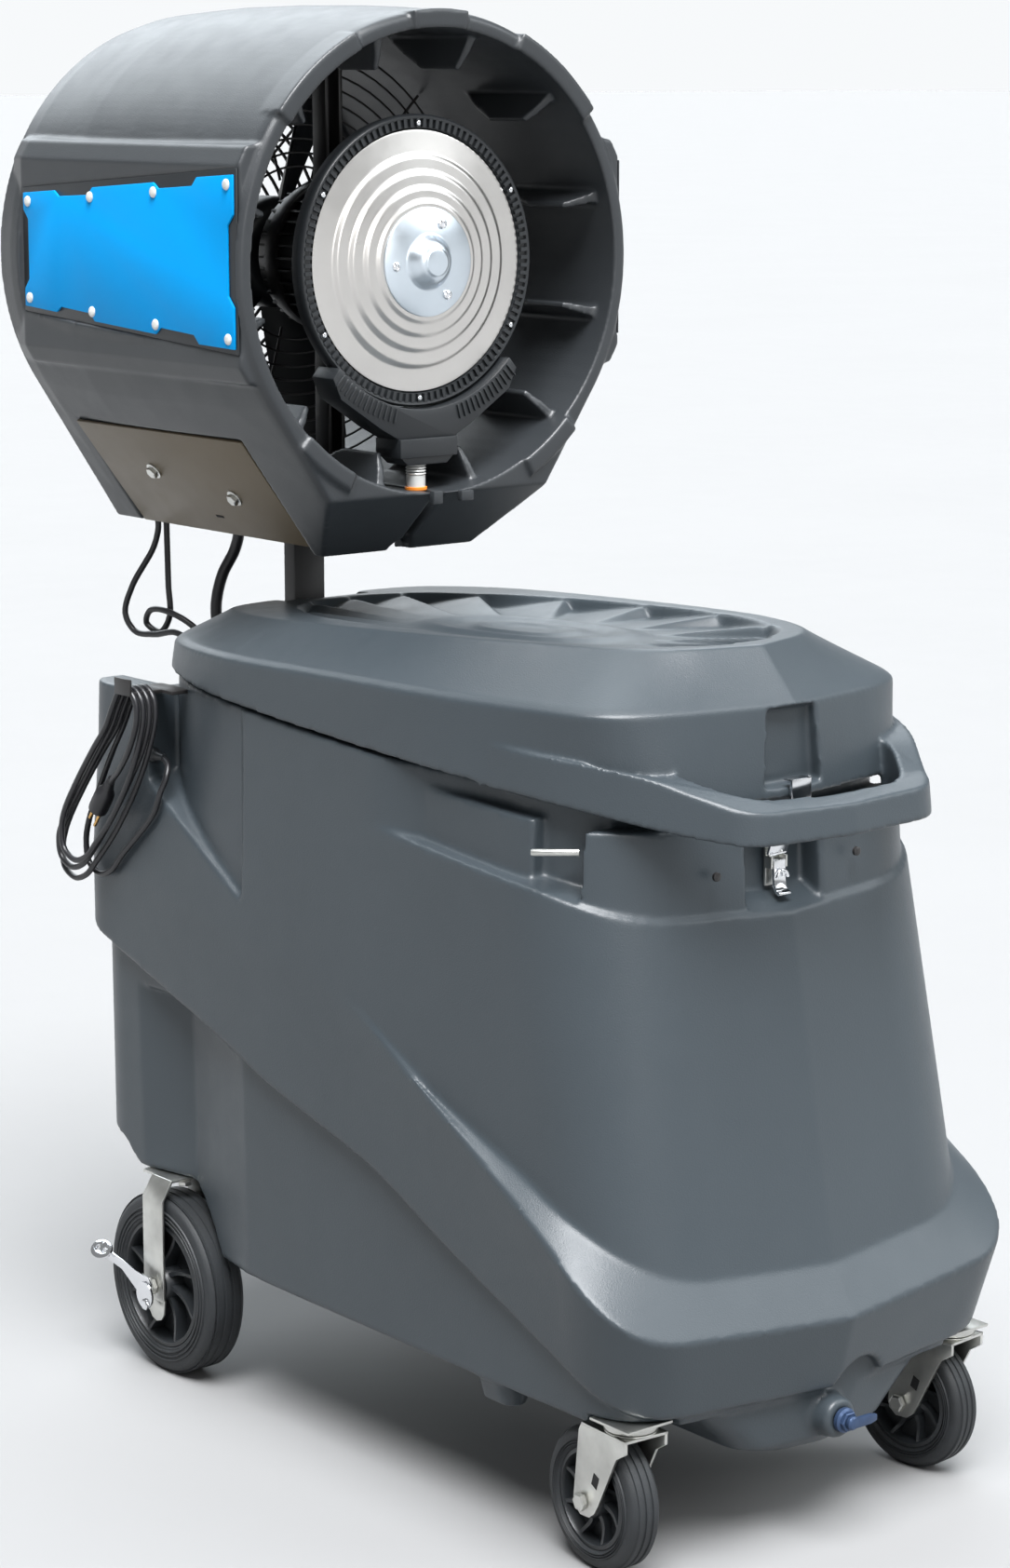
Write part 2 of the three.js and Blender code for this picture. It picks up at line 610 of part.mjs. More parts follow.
function rearBayPieces() {
  const shell = box([-controlBox.halfWidth, controlBox.front, bay.floor + gap],
    [controlBox.halfWidth, controlBox.rear, controlBox.top]);
  add('control_box', shell, darkPlastic);
  const dial = join(rod('y', knob.radius, controlBox.rear + gap, 508, [knob.x, 0, knob.z], 20),
    box([knob.x - 3, 500, knob.z - 14], [knob.x + 3, 511, knob.z + 14]));
  add('switch_knob', dial, darkPlastic);
}

function pump() {
  const body = turned('y', [[0, 0], [38, 0], [38, 6], [30, 10], [30, 70], [20, 78], [0, 78]], [0, 0, 0], 16)
    .rotateX(Math.PI / 2).translate(0, 60, tankFloor + tankWall + gap);
  return body;
}

// ---- Draw latch on the tank's front, hooked over the lid ------------------------------------------
const latch = { face: -361, pivotY: -369, leverZ: 664, hookZ: 672 };

function latchPieces() {
  const { face, pivotY, leverZ, hookZ } = latch;
  const ears = [-12, 12].map((x) => box([x - 1.5, face - 12, leverZ - 6], [x + 1.5, face - 2, leverZ + 6]));
  add('latch_base', join(box([-14, face - 3, 638], [14, face - gap, 684]), ...ears), chrome);
  const lever = join(rod('x', 2.5, -10, 10, [0, pivotY, leverZ], 10),
    box([-9, pivotY - 4, 645], [9, pivotY - 1, leverZ]), box([-9, pivotY - 10, 642], [9, pivotY - 1, 646]));
  add('latch_lever', lever, chrome);
  const lip = { front: -399, top: latchPocket.floor + 3.5 };
  const arm = plate('x', [[pivotY - 1.5, hookZ], [pivotY + 1.5, hookZ], [lip.front + 0.5, 726], [lip.front + 0.5, lip.top],
    [lip.front + 8, lip.top], [lip.front + 8, lip.top + 2.5], [lip.front - 2.5, lip.top + 2.5], [lip.front - 2.5, 724]],
  -11, 11);
  add('latch_hook', join(arm, rod('x', 2, -11, 11, [0, pivotY, hookZ], 10)), chrome);
}

// ---- Side pins and drain -------------------------------------------------------------------------
// A steel pin that stands out of the wall behind the tank's front corner.
function sidePin(side) {
  const heading = side < 0 ? Math.PI - 0.69 : 0.69;
  return rod('x', 3.5, 2, 48, [0, 0, 0], 10).rotateZ(heading).translate(side * 204, -320, 692);
}

function drainPieces() {
  const body = join(rod('y', drain.radius - gap, drain.front - 12, drain.front + 14, [0, 0, drain.z], 14),
    rod('y', 13, drain.front - 7, drain.front - gap, [0, 0, drain.z], 6));
  add('drain_valve', body, zinc);
  const handle = join(rod('y', 7, drain.front - 18, drain.front - 12 - gap, [0, 0, drain.z], 10),
    box([2, drain.front - 18, drain.z - 4], [30, drain.front - 14, drain.z + 4]));
  add('drain_handle', handle, bluePaint);
}

// ---- Casters -------------------------------------------------------------------------------------
const wheelSides = 24;

// A many-sided tyre stands on one of its flats, so its axle is a little lower than its radius.
const axleHeight = (wheel) => wheel.radius * Math.cos(Math.PI / wheelSides);

function tyre(radius, width) {
  const [rim, half] = [radius * 0.7, width / 2];
  return turned('x', [[rim, -half + 3], [radius - 8, -half], [radius, -half + 9], [radius, half - 9],
    [radius - 8, half], [rim, half - 3], [rim, -half + 3]], [0, 0, 0], wheelSides);
}

function rim(radius, width) {
  const [edge, half] = [radius * 0.7 - gap, width / 2];
  return turned('x', [[6.4, -half - 1], [17, -half - 1], [19, -6], [edge - 7, -6], [edge - 4, -half + 4],
    [edge, -half + 4], [edge, half - 4], [edge - 4, half - 4], [edge - 7, 6], [19, 6], [17, half + 1],
    [6.4, half + 1], [6.4, -half - 1]], [0, 0, 0], wheelSides);
}

function axle(halfLength) {
  return join(rod('x', 6, -halfLength, halfLength, [0, 0, 0], 12),
    rod('x', 10, halfLength - 6, halfLength, [0, 0, 0], 6), rod('x', 10, -halfLength, -halfLength + 6, [0, 0, 0], 6));
}

// Fork leg outlines, [y, z] about the axle.
const rearLeg = (top) => [[-14, -16], [14, -16], [22, -4], [34, top], [-6, top], [-18, -4]];
const frontLeg = (top) => [[-13, -12], [4, -15], [15, -4], [6, top - 6], [2, top], [-66, top], [-66, top - 14]];

function fork(wheel, leg, top, bridge) {
  const inside = wheel.width / 2 + 3;
  const legs = [-1, 1].map((side) => {
    const ends = [side * inside, side * (inside + 4)].sort((a, b) => a - b);
    return plate('x', leg(top), ...ends);
  });
  return cut(join(...legs, bridge), rod('x', 6.4, -60, 60, [0, 0, 0], 12));
}

function rearCaster(side, name) {
  const place = (geometry) => geometry.translate(side * rearWheel.x, rearWheel.y, axleHeight(rearWheel));
  const top = casterSeat - gap - axleHeight(rearWheel);
  const half = rearWheel.width / 2 + 7;
  const bridge = box([-half, -28, top - 4], [half, 54, top]);
  add(`rear_fork_${name}`, place(fork(rearWheel, rearLeg, top, bridge)), zinc);
  add(`rear_rim_${name}`, place(rim(rearWheel.radius, rearWheel.width)), darkPlastic);
  add(`rear_tyre_${name}`, place(tyre(rearWheel.radius, rearWheel.width)), rubber);
  add(`rear_axle_${name}`, place(axle(half + 7)), zinc);
  const outside = half + 7 + gap;
  const leverOutline = [[-8, -12], [10, -12], [46, 10], [88, 18], [90, 26], [44, 20], [-6, 12]];
  const lever = plate('x', leverOutline, outside, outside + 5);
  add(`brake_lever_${name}`, place(side < 0 ? flipped(lever) : lever), chrome);
}

function frontCaster(side, name, swivel) {
  const pivot = [side * frontWheel.x, frontWheel.y - frontWheel.trail, 0];
  const seat = frontSeat - gap;
  const turn = THREE.MathUtils.degToRad(swivel);
  const place = (geometry) =>
    geometry.translate(0, frontWheel.trail, axleHeight(frontWheel)).rotateZ(turn).translate(...pivot);
  const top = seat - 11 - axleHeight(frontWheel);
  const half = frontWheel.width / 2 + 7;
  const bridge = join(box([-half, -66, top - 3], [half, 2, top]),
    rod('z', 26, top - 3, top + 2, [0, -frontWheel.trail, 0], 20));
  add(`front_fork_${name}`, place(fork(frontWheel, frontLeg, top, bridge)), zinc);
  add(`front_rim_${name}`, place(rim(frontWheel.radius, frontWheel.width)), darkPlastic);
  add(`front_tyre_${name}`, place(tyre(frontWheel.radius, frontWheel.width)), rubber);
  add(`front_axle_${name}`, place(axle(half + 7)), zinc);
  const plateBody = join(box([-28, -28, seat - 3], [28, 28, seat]),
    rod('z', 27, seat - 9 + gap, seat - 2, [0, 0, 0], 20));
  add(`caster_plate_${name}`, plateBody.translate(...pivot), zinc);
}

// ---- Cables and hose between head and tank --------------------------------------------------------
const cableRadius = 3.5;
const hoseRadius = 6.5;
const linkTop = yokeFlat.corner[1] - gap;
const linkFoot = controlBox.top + gap;

const cableRoutes = {
  cable_left: [[-94, 548, linkTop], [-94, 548, 904], [-97, 554, 882], [-113, 574, 838], [-118, 582, 806], [-113, 571, 787],
    [-107, 540, 786], [-100, 505, 791], [-88, 478, 772], [-73, 466, 742],
    [-71, 465, 726], [-71, 465, linkFoot]],
  cable_right: [[-84, 546, linkTop], [-84, 546, 904], [-85, 544, 882], [-89, 537, 840], [-90, 534, 806], [-94, 547, 787],
    [-101, 564, 795], [-104, 553, 811], [-101, 528, 814], [-86, 492, 798], [-60, 469, 752],
    [-54, 465, 728], [-54, 465, linkFoot]],
};
const hoseRoute = [[-30, 482, linkTop], [-30, 482, 900], [-33, 487, 880], [-43, 497, 852], [-50, 500, 815], [-48, 492, 778],
  [-35, 471, 746], [-32, 465, 730], [-32, 465, linkFoot]];

function links() {
  for (const [name, route] of Object.entries(cableRoutes)) add(name, tube(route, cableRadius, 36), cordRubber);
  add('water_hose', tube(hoseRoute, hoseRadius, 24, 10), cordRubber);
}

// ---- Power cord, folded over its hook at the rear left corner --------------------------------------
const cordRadius = 3.3;
const hookBar = { inner: -221, low: 763, high: 767, rear: 355.7 };
const hookShelf = { outer: -284, front: 319, rear: 349 };
const hank = { inner: -247, outer: -285.3 };
const gland = { x: -234, z: 690, face: 355.7, length: 8 };
const tailRoute = [[-234, 347.4, 690], [-234, 342, 690], [-235, 333, 686], [-238, 330, 677], [-242, 335, 667],
  [hank.inner + gap, 335, 667]];

// The hank hangs from the hook down to the rear; across it lies the plug, in the space between its runs.
const hankAxis = { top: [335, 767], angle: 0.651 };
const hankOutline = [[308, 762.7], [309, 730], [322, 698], [331, 640], [345, 611], [378, 583], [406, 556],
  [424, 541], [449, 535], [470, 529], [500, 536], [511, 561], [505, 582], [481, 616], [455, 646], [429, 676],
  [401, 705], [373, 734], [352, 762.7]];
const plugPlace = { x: -266, along: 143, across: -21 };

// A point [y, z] a distance along the hank from its top, and a distance across it.
function onHank(along, across) {
  const [sine, cosine] = [Math.sin(hankAxis.angle), Math.cos(hankAxis.angle)];
  return [hankAxis.top[0] + sine * along + cosine * across, hankAxis.top[1] - cosine * along + sine * across];
}

function cordPieces() {
  const bar = join(box([hookShelf.outer, hookShelf.front, hookBar.low], [hookBar.inner, hookShelf.rear, hookBar.high]),
    box([-246, 280, hookBar.low], [hookBar.inner, hookBar.rear, hookBar.high]),
    box([hookShelf.outer - 2, hookShelf.front, hookBar.low], [hookShelf.outer, hookShelf.rear, hookBar.high + 14]));
  const bodyWall = loft([at(lidOutline(6 - gap), 700), at(lidOutline(6 - gap), 800)]);
  add('cord_hook', cut(bar, bodyWall), blackSteel);
  add('cord_gland', rod('y', 8, gland.face - gland.length, gland.face, [gland.x, 0, gland.z], 12), darkPlastic);
  add('cord_tail', tube(tailRoute, cordRadius, 10), cordRubber);
  const window = [onHank(100, -4), onHank(100, -38), onHank(185, -38), onHank(185, -4)];
  const folded = cut(plate('x', hankOutline, hank.outer, hank.inner),
    plate('x', window, hank.outer - 1, hank.inner + 1));
  add('cord_hank', folded, cordRubber);
  const plugBody = join(rod('z', 11, -22, 12, [0, 0, 0], 12), rod('z', 6, 12, 30, [0, 0, 0], 12),
    rod('z', 2, -40, -22, [0, -6, 0], 8), rod('z', 2, -40, -22, [0, 6, 0], 8));
  plugBody.rotateX(hankAxis.angle).translate(plugPlace.x, ...onHank(plugPlace.along, plugPlace.across));
  add('plug', plugBody, cordRubber);
}

function shaft() {
  return rod('y', shaftRadius, discFace - 3 + gap, 476, [0, 0, headAxis], 12);
}

add('tank', tank(), plastic);
add('lid', lid(), plastic);
latchPieces();
drainPieces();
add('side_pin_left', sidePin(-1), zinc);
add('side_pin_right', sidePin(1), zinc);
add('pump', pump(), darkPlastic);
mastPieces();
rearBayPieces();
add('pan_bearing', panBearing(), zinc);
add('yoke', yoke(), taupeSteel);
add('head_shell', headShell(), plastic);
add('side_panel_left', sidePanel(-1), bluePaint);
add('side_panel_right', sidePanel(1), bluePaint);
add('rear_guard', rearGuard(), blackSteel);
add('motor', motorBody(), blackSteel);
add('motor_strut', motorStrut(), blackSteel);
add('fan', fan(), darkPlastic);
add('shaft', shaft(), chrome);
add('atomiser_disc', atomiserDisc(), discSteel);
add('hub_plate', hubPlate(), chrome);
add('slinger_ring', slingerRing(), darkPlastic);
add('ring_housing', ringHousing(), darkPlastic);
add('gutter', gutter(), darkPlastic);
add('water_fitting', waterFitting(), zinc);
rearCaster(-1, 'left');
rearCaster(1, 'right');
frontCaster(-1, 'left', -3.6);
frontCaster(1, 'right', 6);
links();
cordPieces();

group.children.forEach((mesh) => mesh.geometry.translate(0, datumShift, 0));
export default group;
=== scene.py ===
"""Evaporative cooler: the visual model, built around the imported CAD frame.

Shapes are laid out in plan millimetres, with Y measured from the middle of the tank as the CAD source does,
and world() turns them into the part's frame in metres.
"""
import math

import bmesh
import bpy
import numpy as np
from mathutils import Matrix, Vector

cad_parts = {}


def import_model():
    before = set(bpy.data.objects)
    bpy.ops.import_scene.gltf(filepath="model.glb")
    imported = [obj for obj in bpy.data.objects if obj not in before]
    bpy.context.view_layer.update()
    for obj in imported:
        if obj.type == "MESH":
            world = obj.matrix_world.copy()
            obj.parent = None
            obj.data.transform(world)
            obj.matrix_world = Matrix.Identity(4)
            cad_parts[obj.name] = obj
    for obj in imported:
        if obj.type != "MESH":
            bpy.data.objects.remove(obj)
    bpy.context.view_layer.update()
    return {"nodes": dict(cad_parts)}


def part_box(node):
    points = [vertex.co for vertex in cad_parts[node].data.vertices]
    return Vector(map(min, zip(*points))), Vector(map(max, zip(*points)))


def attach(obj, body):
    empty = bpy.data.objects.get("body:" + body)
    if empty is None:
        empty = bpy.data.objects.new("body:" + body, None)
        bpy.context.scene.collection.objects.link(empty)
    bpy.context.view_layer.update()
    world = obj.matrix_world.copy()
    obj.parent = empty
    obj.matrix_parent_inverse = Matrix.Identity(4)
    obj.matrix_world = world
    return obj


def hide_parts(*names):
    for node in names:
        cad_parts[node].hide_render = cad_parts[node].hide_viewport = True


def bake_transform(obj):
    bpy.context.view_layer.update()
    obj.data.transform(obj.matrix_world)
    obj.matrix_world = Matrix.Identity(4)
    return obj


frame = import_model()

MM = 0.001
MAST_PLAN_Y = 399.0
mast_low, mast_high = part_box("mast")
DATUM = (mast_low[1] + mast_high[1]) / 2 / MM - MAST_PLAN_Y


def world(points):
    """Plan millimetres to the part's frame in metres."""
    array = np.array(points, float).reshape(-1, 3)
    array[:, 1] += DATUM
    return array * MM


def spot(x, y, z):
    return tuple(float(v) for v in world([(x, y, z)])[0])


# ---- Camera --------------------------------------------------------------------------------------
camera_data = bpy.data.cameras.new("camera")
camera_data.sensor_width = 36.0
camera_data.lens = 84.06
camera = bpy.data.objects.new("camera", camera_data)
camera.location = spot(-2370.6, -2874.7, 1415.0)
camera.rotation_euler = (math.radians(78.89), 0.0, math.radians(-39.07))
bpy.context.scene.collection.objects.link(camera)
bpy.context.scene.camera = camera


# ---- Materials -----------------------------------------------------------------------------------
def surface(name, color, roughness, metallic=0.0, grain=0.0, grain_scale=700.0, patch=0.08, patch_scale=5.0,
        rough_patch=0.06, stretch=(1, 1, 1), **sockets):
    """A Principled material with slow colour and roughness patches, and a fine surface grain."""
    material = bpy.data.materials.new(name)
    material.use_nodes = True
    nodes, links = material.node_tree.nodes, material.node_tree.links
    shader = nodes["Principled BSDF"]
    shader.inputs["Metallic"].default_value = metallic
    for socket, value in sockets.items():
        shader.inputs[socket.replace("_", " ")].default_value = value
    coordinates = nodes.new("ShaderNodeTexCoord")
    mapping = nodes.new("ShaderNodeMapping")
    mapping.inputs["Scale"].default_value = stretch
    links.new(coordinates.outputs["Object"], mapping.inputs["Vector"])

    def noise(scale, detail):
        node = nodes.new("ShaderNodeTexNoise")
        node.inputs["Scale"].default_value = scale
        node.inputs["Detail"].default_value = detail
        links.new(mapping.outputs["Vector"], node.inputs["Vector"])
        return node.outputs["Fac"]

    slow = noise(patch_scale, 5.0)
    ramp = nodes.new("ShaderNodeValToRGB")
    for element, position, factor in zip(ramp.color_ramp.elements, (0.3, 0.7), (1 - patch, 1 + patch)):
        element.position = position
        element.color = [min(1.0, c * factor) for c in color] + [1.0]
    links.new(slow, ramp.inputs["Fac"])
    links.new(ramp.outputs["Color"], shader.inputs["Base Color"])
    spread = nodes.new("ShaderNodeMapRange")
    spread.inputs["To Min"].default_value = roughness - rough_patch
    spread.inputs["To Max"].default_value = roughness + rough_patch
    links.new(noise(patch_scale * 7, 6.0), spread.inputs["Value"])
    links.new(spread.outputs["Result"], shader.inputs["Roughness"])
    if grain:
        bump = nodes.new("ShaderNodeBump")
        bump.inputs["Strength"].default_value = grain
        bump.inputs["Distance"].default_value = 0.0006
        links.new(noise(grain_scale, 3.0), bump.inputs["Height"])
        links.new(bump.outputs["Normal"], shader.inputs["Normal"])
    return material


BODY = surface("body_plastic", (0.034, 0.043, 0.050), 0.38, grain=0.32, grain_scale=650, patch=0.05,
    rough_patch=0.07, Specular_IOR_Level=0.42)
HEAD = surface("head_plastic", (0.024, 0.027, 0.030), 0.38, grain=0.3, grain_scale=650, patch=0.06,
    rough_patch=0.07)
DARK = surface("dark_plastic", (0.014, 0.016, 0.018), 0.38, grain=0.15, patch=0.12)
TYRE = surface("tyre_rubber", (0.012, 0.014, 0.016), 0.58, grain=0.5, grain_scale=900, patch=0.25,
    patch_scale=18)
ZINC = surface("zinc_plate", (0.60, 0.60, 0.57), 0.34, 1.0, grain=0.12, grain_scale=260, patch=0.16,
    patch_scale=30, rough_patch=0.1)
CHROME = surface("chrome", (0.80, 0.81, 0.83), 0.14, 1.0, patch=0.04, rough_patch=0.05)
BLACK = surface("black_steel", (0.016, 0.015, 0.015), 0.36, grain=0.15, grain_scale=500, patch=0.2)
TAUPE = surface("taupe_steel", (0.104, 0.080, 0.048), 0.42, 0.1, grain=0.12, grain_scale=420, patch=0.07)
DISC = surface("spun_steel", (0.66, 0.64, 0.615), 0.30, 1.0, grain=0.05, grain_scale=300, patch=0.05,
    patch_scale=9, rough_patch=0.05)
HUB = surface("bright_zinc", (0.70, 0.77, 0.83), 0.32, 1.0, grain=0.015, grain_scale=300, patch=0.05,
    patch_scale=14)
BLUE = surface("blue_paint", (0.0, 0.25, 0.60), 0.45, grain=0.05, grain_scale=500, patch=0.03,
    Specular_IOR_Level=0.08)
BLUE_METAL = surface("blue_valve", (0.035, 0.06, 0.12), 0.34, 0.5, patch=0.12, patch_scale=60)
CORD = surface("cord_rubber", (0.012, 0.012, 0.014), 0.34, grain=0.12, grain_scale=1200, patch=0.15,
    patch_scale=40)
BRASS = surface("brass", (0.72, 0.44, 0.16), 0.28, 1.0, patch=0.08, patch_scale=60)
ORANGE = surface("orange_ring", (0.75, 0.22, 0.02), 0.4, patch=0.08, patch_scale=60)
WHITE = surface("white_fitting", (0.62, 0.62, 0.60), 0.35, 0.3, patch=0.08, patch_scale=60)
# Near-black painted shade, laid on the yoke and fork slots in place of the shade inside them.
SLOT_SHADE = surface("painted_slot_shade", (0.004, 0.004, 0.004), 0.8, patch=0.1)


# ---- Solids --------------------------------------------------------------------------------------
SIDES = ((-1, "left"), (1, "right"))


def outward(side, near, far):
    """The two ends along X, in rising order, of what reaches from near to far on one side."""
    return sorted((side * near, side * far))


def ellipse(count, half_width, half_height, centre=(0, 0)):
    turns = [2 * math.pi * i / count for i in range(count)]
    return [(centre[0] + half_width * math.cos(t), centre[1] + half_height * math.sin(t)) for t in turns]


class Solid:
    """Closed shells in plan millimetres, gathered into one mesh."""

    def __init__(self):
        self.points = []
        self.faces = []

    def add(self, points, faces, turn=None, shift=(0, 0, 0)):
        start = len(self.points)
        for p in points:
            v = Vector(p)
            if turn is not None:
                v = turn @ v
            self.points.append(tuple(v + Vector(shift)))
        self.faces += [[start + i for i in face] for face in faces]
        return self

    def loft(self, rings, looped=False, **place):
        """Skins rings of equal count; looped joins the last ring to the first instead of capping the ends."""
        count = len(rings[0])
        points = [p for ring in rings for p in ring]
        faces = []
        for i in range(len(rings) if looped else len(rings) - 1):
            n = (i + 1) % len(rings)
            for j in range(count):
                k = (j + 1) % count
                faces.append([i * count + j, i * count + k, n * count + k, n * count + j])
        if not looped:
            last = (len(rings) - 1) * count
            faces += [list(range(count))[::-1], [last + j for j in range(count)]]
        return self.add(points, faces, **place)

    def lathe(self, axis, profile, centre, steps, looped=False, **place):
        """Turns (radius, along) points about an axis; looped closes the profile into a ring's section."""
        ring_of = {
            "x": lambda r, a, c, s: (centre[0] + a, centre[1] + r * c, centre[2] + r * s),
            "y": lambda r, a, c, s: (centre[0] + r * c, centre[1] + a, centre[2] + r * s),
            "z": lambda r, a, c, s: (centre[0] + r * c, centre[1] + r * s, centre[2] + a),
        }[axis]
        angles = [2 * math.pi * i / steps for i in range(steps)]
        rings = [[ring_of(r, a, math.cos(t), math.sin(t)) for t in angles] for r, a in profile]
        return self.loft(rings, looped, **place)

    def rod(self, axis, radius, start, end, centre, steps=24, **place):
        return self.lathe(axis, [(radius, start), (radius, end)], centre, steps, **place)

    def box(self, low, high, **place):
        (x0, y0, z0), (x1, y1, z1) = low, high
        rings = [[(x0, y0, z), (x1, y0, z), (x1, y1, z), (x0, y1, z)] for z in (z0, z1)]
        return self.loft(rings, **place)

    def prism(self, axis, outline, start, end, **place):
        """A flat outline of (y, z), (x, z) or (x, y) points given thickness along X, Y or Z."""
        to_point = {
            "x": lambda u, v, a: (a, u, v),
            "y": lambda u, v, a: (u, a, v),
            "z": lambda u, v, a: (u, v, a),
        }[axis]
        return self.loft([[to_point(u, v, a) for u, v in outline] for a in (start, end)], **place)

    def tube(self, route, radius, sides=12):
        """A tube of round section along closely spaced points."""
        route = [Vector(p) for p in route]
        side = (route[1] - route[0]).orthogonal().normalized()
        rings = []
        for i, p in enumerate(route):
            along = (route[min(i + 1, len(route) - 1)] - route[max(i - 1, 0)]).normalized()
            side = (side - along * side.dot(along)).normalized()
            up = along.cross(side)
            rings.append([tuple(p + radius * (math.cos(t) * side + math.sin(t) * up))
                for t in (2 * math.pi * j / sides for j in range(sides))])
        return self.loft(rings)

    def hexagon(self, axis, across, start, end, centre):
        """A bolt head or nut, its edges broken by a chamfer."""
        profile = [(across * 0.52, start), (across * 0.577, start + 0.8), (across * 0.577, end - 0.8),
            (across * 0.5, end)]
        return self.lathe(axis, profile, centre, 6)

    def mesh(self, name):
        data = bpy.data.meshes.new(name)
        data.from_pydata(world(self.points).tolist(), [], self.faces)
        work = bmesh.new()
        work.from_mesh(data)
        bmesh.ops.remove_doubles(work, verts=work.verts, dist=1e-6)
        bmesh.ops.recalc_face_normals(work, faces=work.faces)
        work.to_mesh(data)
        work.free()
        return data

    def object(self, name):
        thing = bpy.data.objects.new(name, self.mesh(name))
        bpy.context.scene.collection.objects.link(thing)
        return thing


def applied(thing):
    """Replaces an object's mesh with the result of its modifiers."""
    bpy.context.view_layer.update()
    graph = bpy.context.evaluated_depsgraph_get()
    mesh = bpy.data.meshes.new_from_object(thing.evaluated_get(graph))
    thing.modifiers.clear()
    thing.data = mesh
    return thing


def combined(thing, tool, operation):
    """Applies a boolean with another object, which is used up."""
    modifier = thing.modifiers.new("cut", "BOOLEAN")
    modifier.operation = operation
    modifier.solver = "MANIFOLD"
    modifier.object = tool
    applied(thing)
    bpy.data.objects.remove(tool)
    return thing


def boolean(thing, solids, operation):
    for solid in solids:
        combined(thing, solid.object("tool"), operation)
    return thing


def remeshed(thing, voxel, rounds, keep):
    """Gives a solid the soft edges of a moulding: even voxels, then smoothing, then fewer faces."""
    remesh = thing.modifiers.new("voxels", "REMESH")
    remesh.mode = "VOXEL"
    remesh.voxel_size = voxel * MM
    smooth = thing.modifiers.new("smooth", "SMOOTH")
    smooth.factor = 0.5
    smooth.iterations = rounds
    if keep < 1:
        fewer = thing.modifiers.new("fewer", "DECIMATE")
        fewer.ratio = keep
    return applied(thing)


def finished(thing, material, body, replaces=(), sharp=40, bevel=0.0, segments=2):
    """Shading, material, and the CAD body (None for a piece that bends) and nodes of a piece."""
    if bevel:
        edge = thing.modifiers.new("bevel", "BEVEL")
        edge.width = bevel * MM
        edge.segments = segments
        edge.limit_method = "ANGLE"
        edge.angle_limit = math.radians(35)
        applied(thing)
    thing.data.shade_smooth()
    thing.data.set_sharp_from_angle(angle=math.radians(sharp))
    thing.data.materials.clear()
    thing.data.materials.append(material)
    if body:
        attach(thing, body)
    if replaces:
        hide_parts(*replaces)
    return thing


def smooth_curve(points, per=8):
    """Centripetal Catmull-Rom through the points."""
    p = np.array(points, float)
    q = np.vstack([2 * p[0] - p[1], p, 2 * p[-1] - p[-2]])
    out = []
    for i in range(1, len(q) - 2):
        a, b, c, d = q[i - 1], q[i], q[i + 1], q[i + 2]
        t1 = math.sqrt(np.linalg.norm(b - a))
        t2 = t1 + math.sqrt(np.linalg.norm(c - b))
        t3 = t2 + math.sqrt(np.linalg.norm(d - c))
        for t in np.linspace(t1, t2, per, endpoint=False):
            a1 = (t1 - t) / t1 * a + t / t1 * b
            a2 = (t2 - t) / (t2 - t1) * b + (t - t1) / (t2 - t1) * c
            a3 = (t3 - t) / (t3 - t2) * c + (t - t2) / (t3 - t2) * d
            b1 = (t2 - t) / t2 * a1 + t / t2 * a2
            b2 = (t3 - t) / (t3 - t1) * a2 + (t - t1) / (t3 - t1) * a3
            out.append((t2 - t) / (t2 - t1) * b1 + (t - t1) / (t2 - t1) * b2)
    out.append(p[-1])
    return np.array(out)


# ---- Power cord, folded over its hook ------------------------------------------------------------
CORD_RADIUS = 3.3
HANK_LOOP = [(313, 741), (322, 712), (349, 664), (390, 608), (424, 570), (447, 549), (470, 542), (491, 552),
    (494, 574), (481, 598), (448, 640), (406, 690), (376, 723), (358, 749), (345, 766), (329, 769),
    (316, 759)]
HANK_LAYERS = [(-30, 6, 0), (8, -4, 3), (2, 10, -2), (-16, 22, 2)]   # each loop: its foot's move, its width
HANK_INNER, HANK_PITCH = -250.8, 7.7
HANK_SPREAD_TOP, HANK_SPREAD_FALL = 716, 150      # the strands part from this height down, over this fall
ACROSS_HANK = (0.796, 0.606)                      # Y and Z of the direction across the hank
HANK_ANGLE, HANK_TOP = 0.651, (335, 767)
FIRST_RISING = 9


def on_hank(along, across):
    """A point (y, z) a distance along the hank from its top, and a distance across it."""
    sine, cosine = math.sin(HANK_ANGLE), math.cos(HANK_ANGLE)
    return (HANK_TOP[0] + sine * along + cosine * across, HANK_TOP[1] - cosine * along + sine * across)


def cord_route():
    points = [(-234, 347.4, 690), (-234, 338, 689), (-236.5, 324, 684), (-243, 317, 673), (-249.5, 320, 655),
        (-250.8, 331, 632)]
    for k, (foot_y, foot_z, width) in enumerate(HANK_LAYERS):
        for i, (y, z) in enumerate(HANK_LOOP):
            if k == 0 and i < 4:
                continue
            low = min(1.0, max(0.0, (HANK_SPREAD_TOP - z) / HANK_SPREAD_FALL))
            rising = i >= FIRST_RISING
            wave = math.sin(math.pi * low) * width * (1 if rising else -1)
            climb = min(1.0, (i - FIRST_RISING + 1) / 5) if rising else 0.0
            points.append((HANK_INNER - HANK_PITCH * (k + climb),
                y + foot_y * low + wave * ACROSS_HANK[0], z + foot_z * low + wave * ACROSS_HANK[1]))
    outer = HANK_INNER - HANK_PITCH * len(HANK_LAYERS)
    points += [(outer, 314, 738), (outer + 1, 330, 706), (-276, 356, 680), (-268, 384, 662), (-264, 396, 653)]
    return smooth_curve(points)


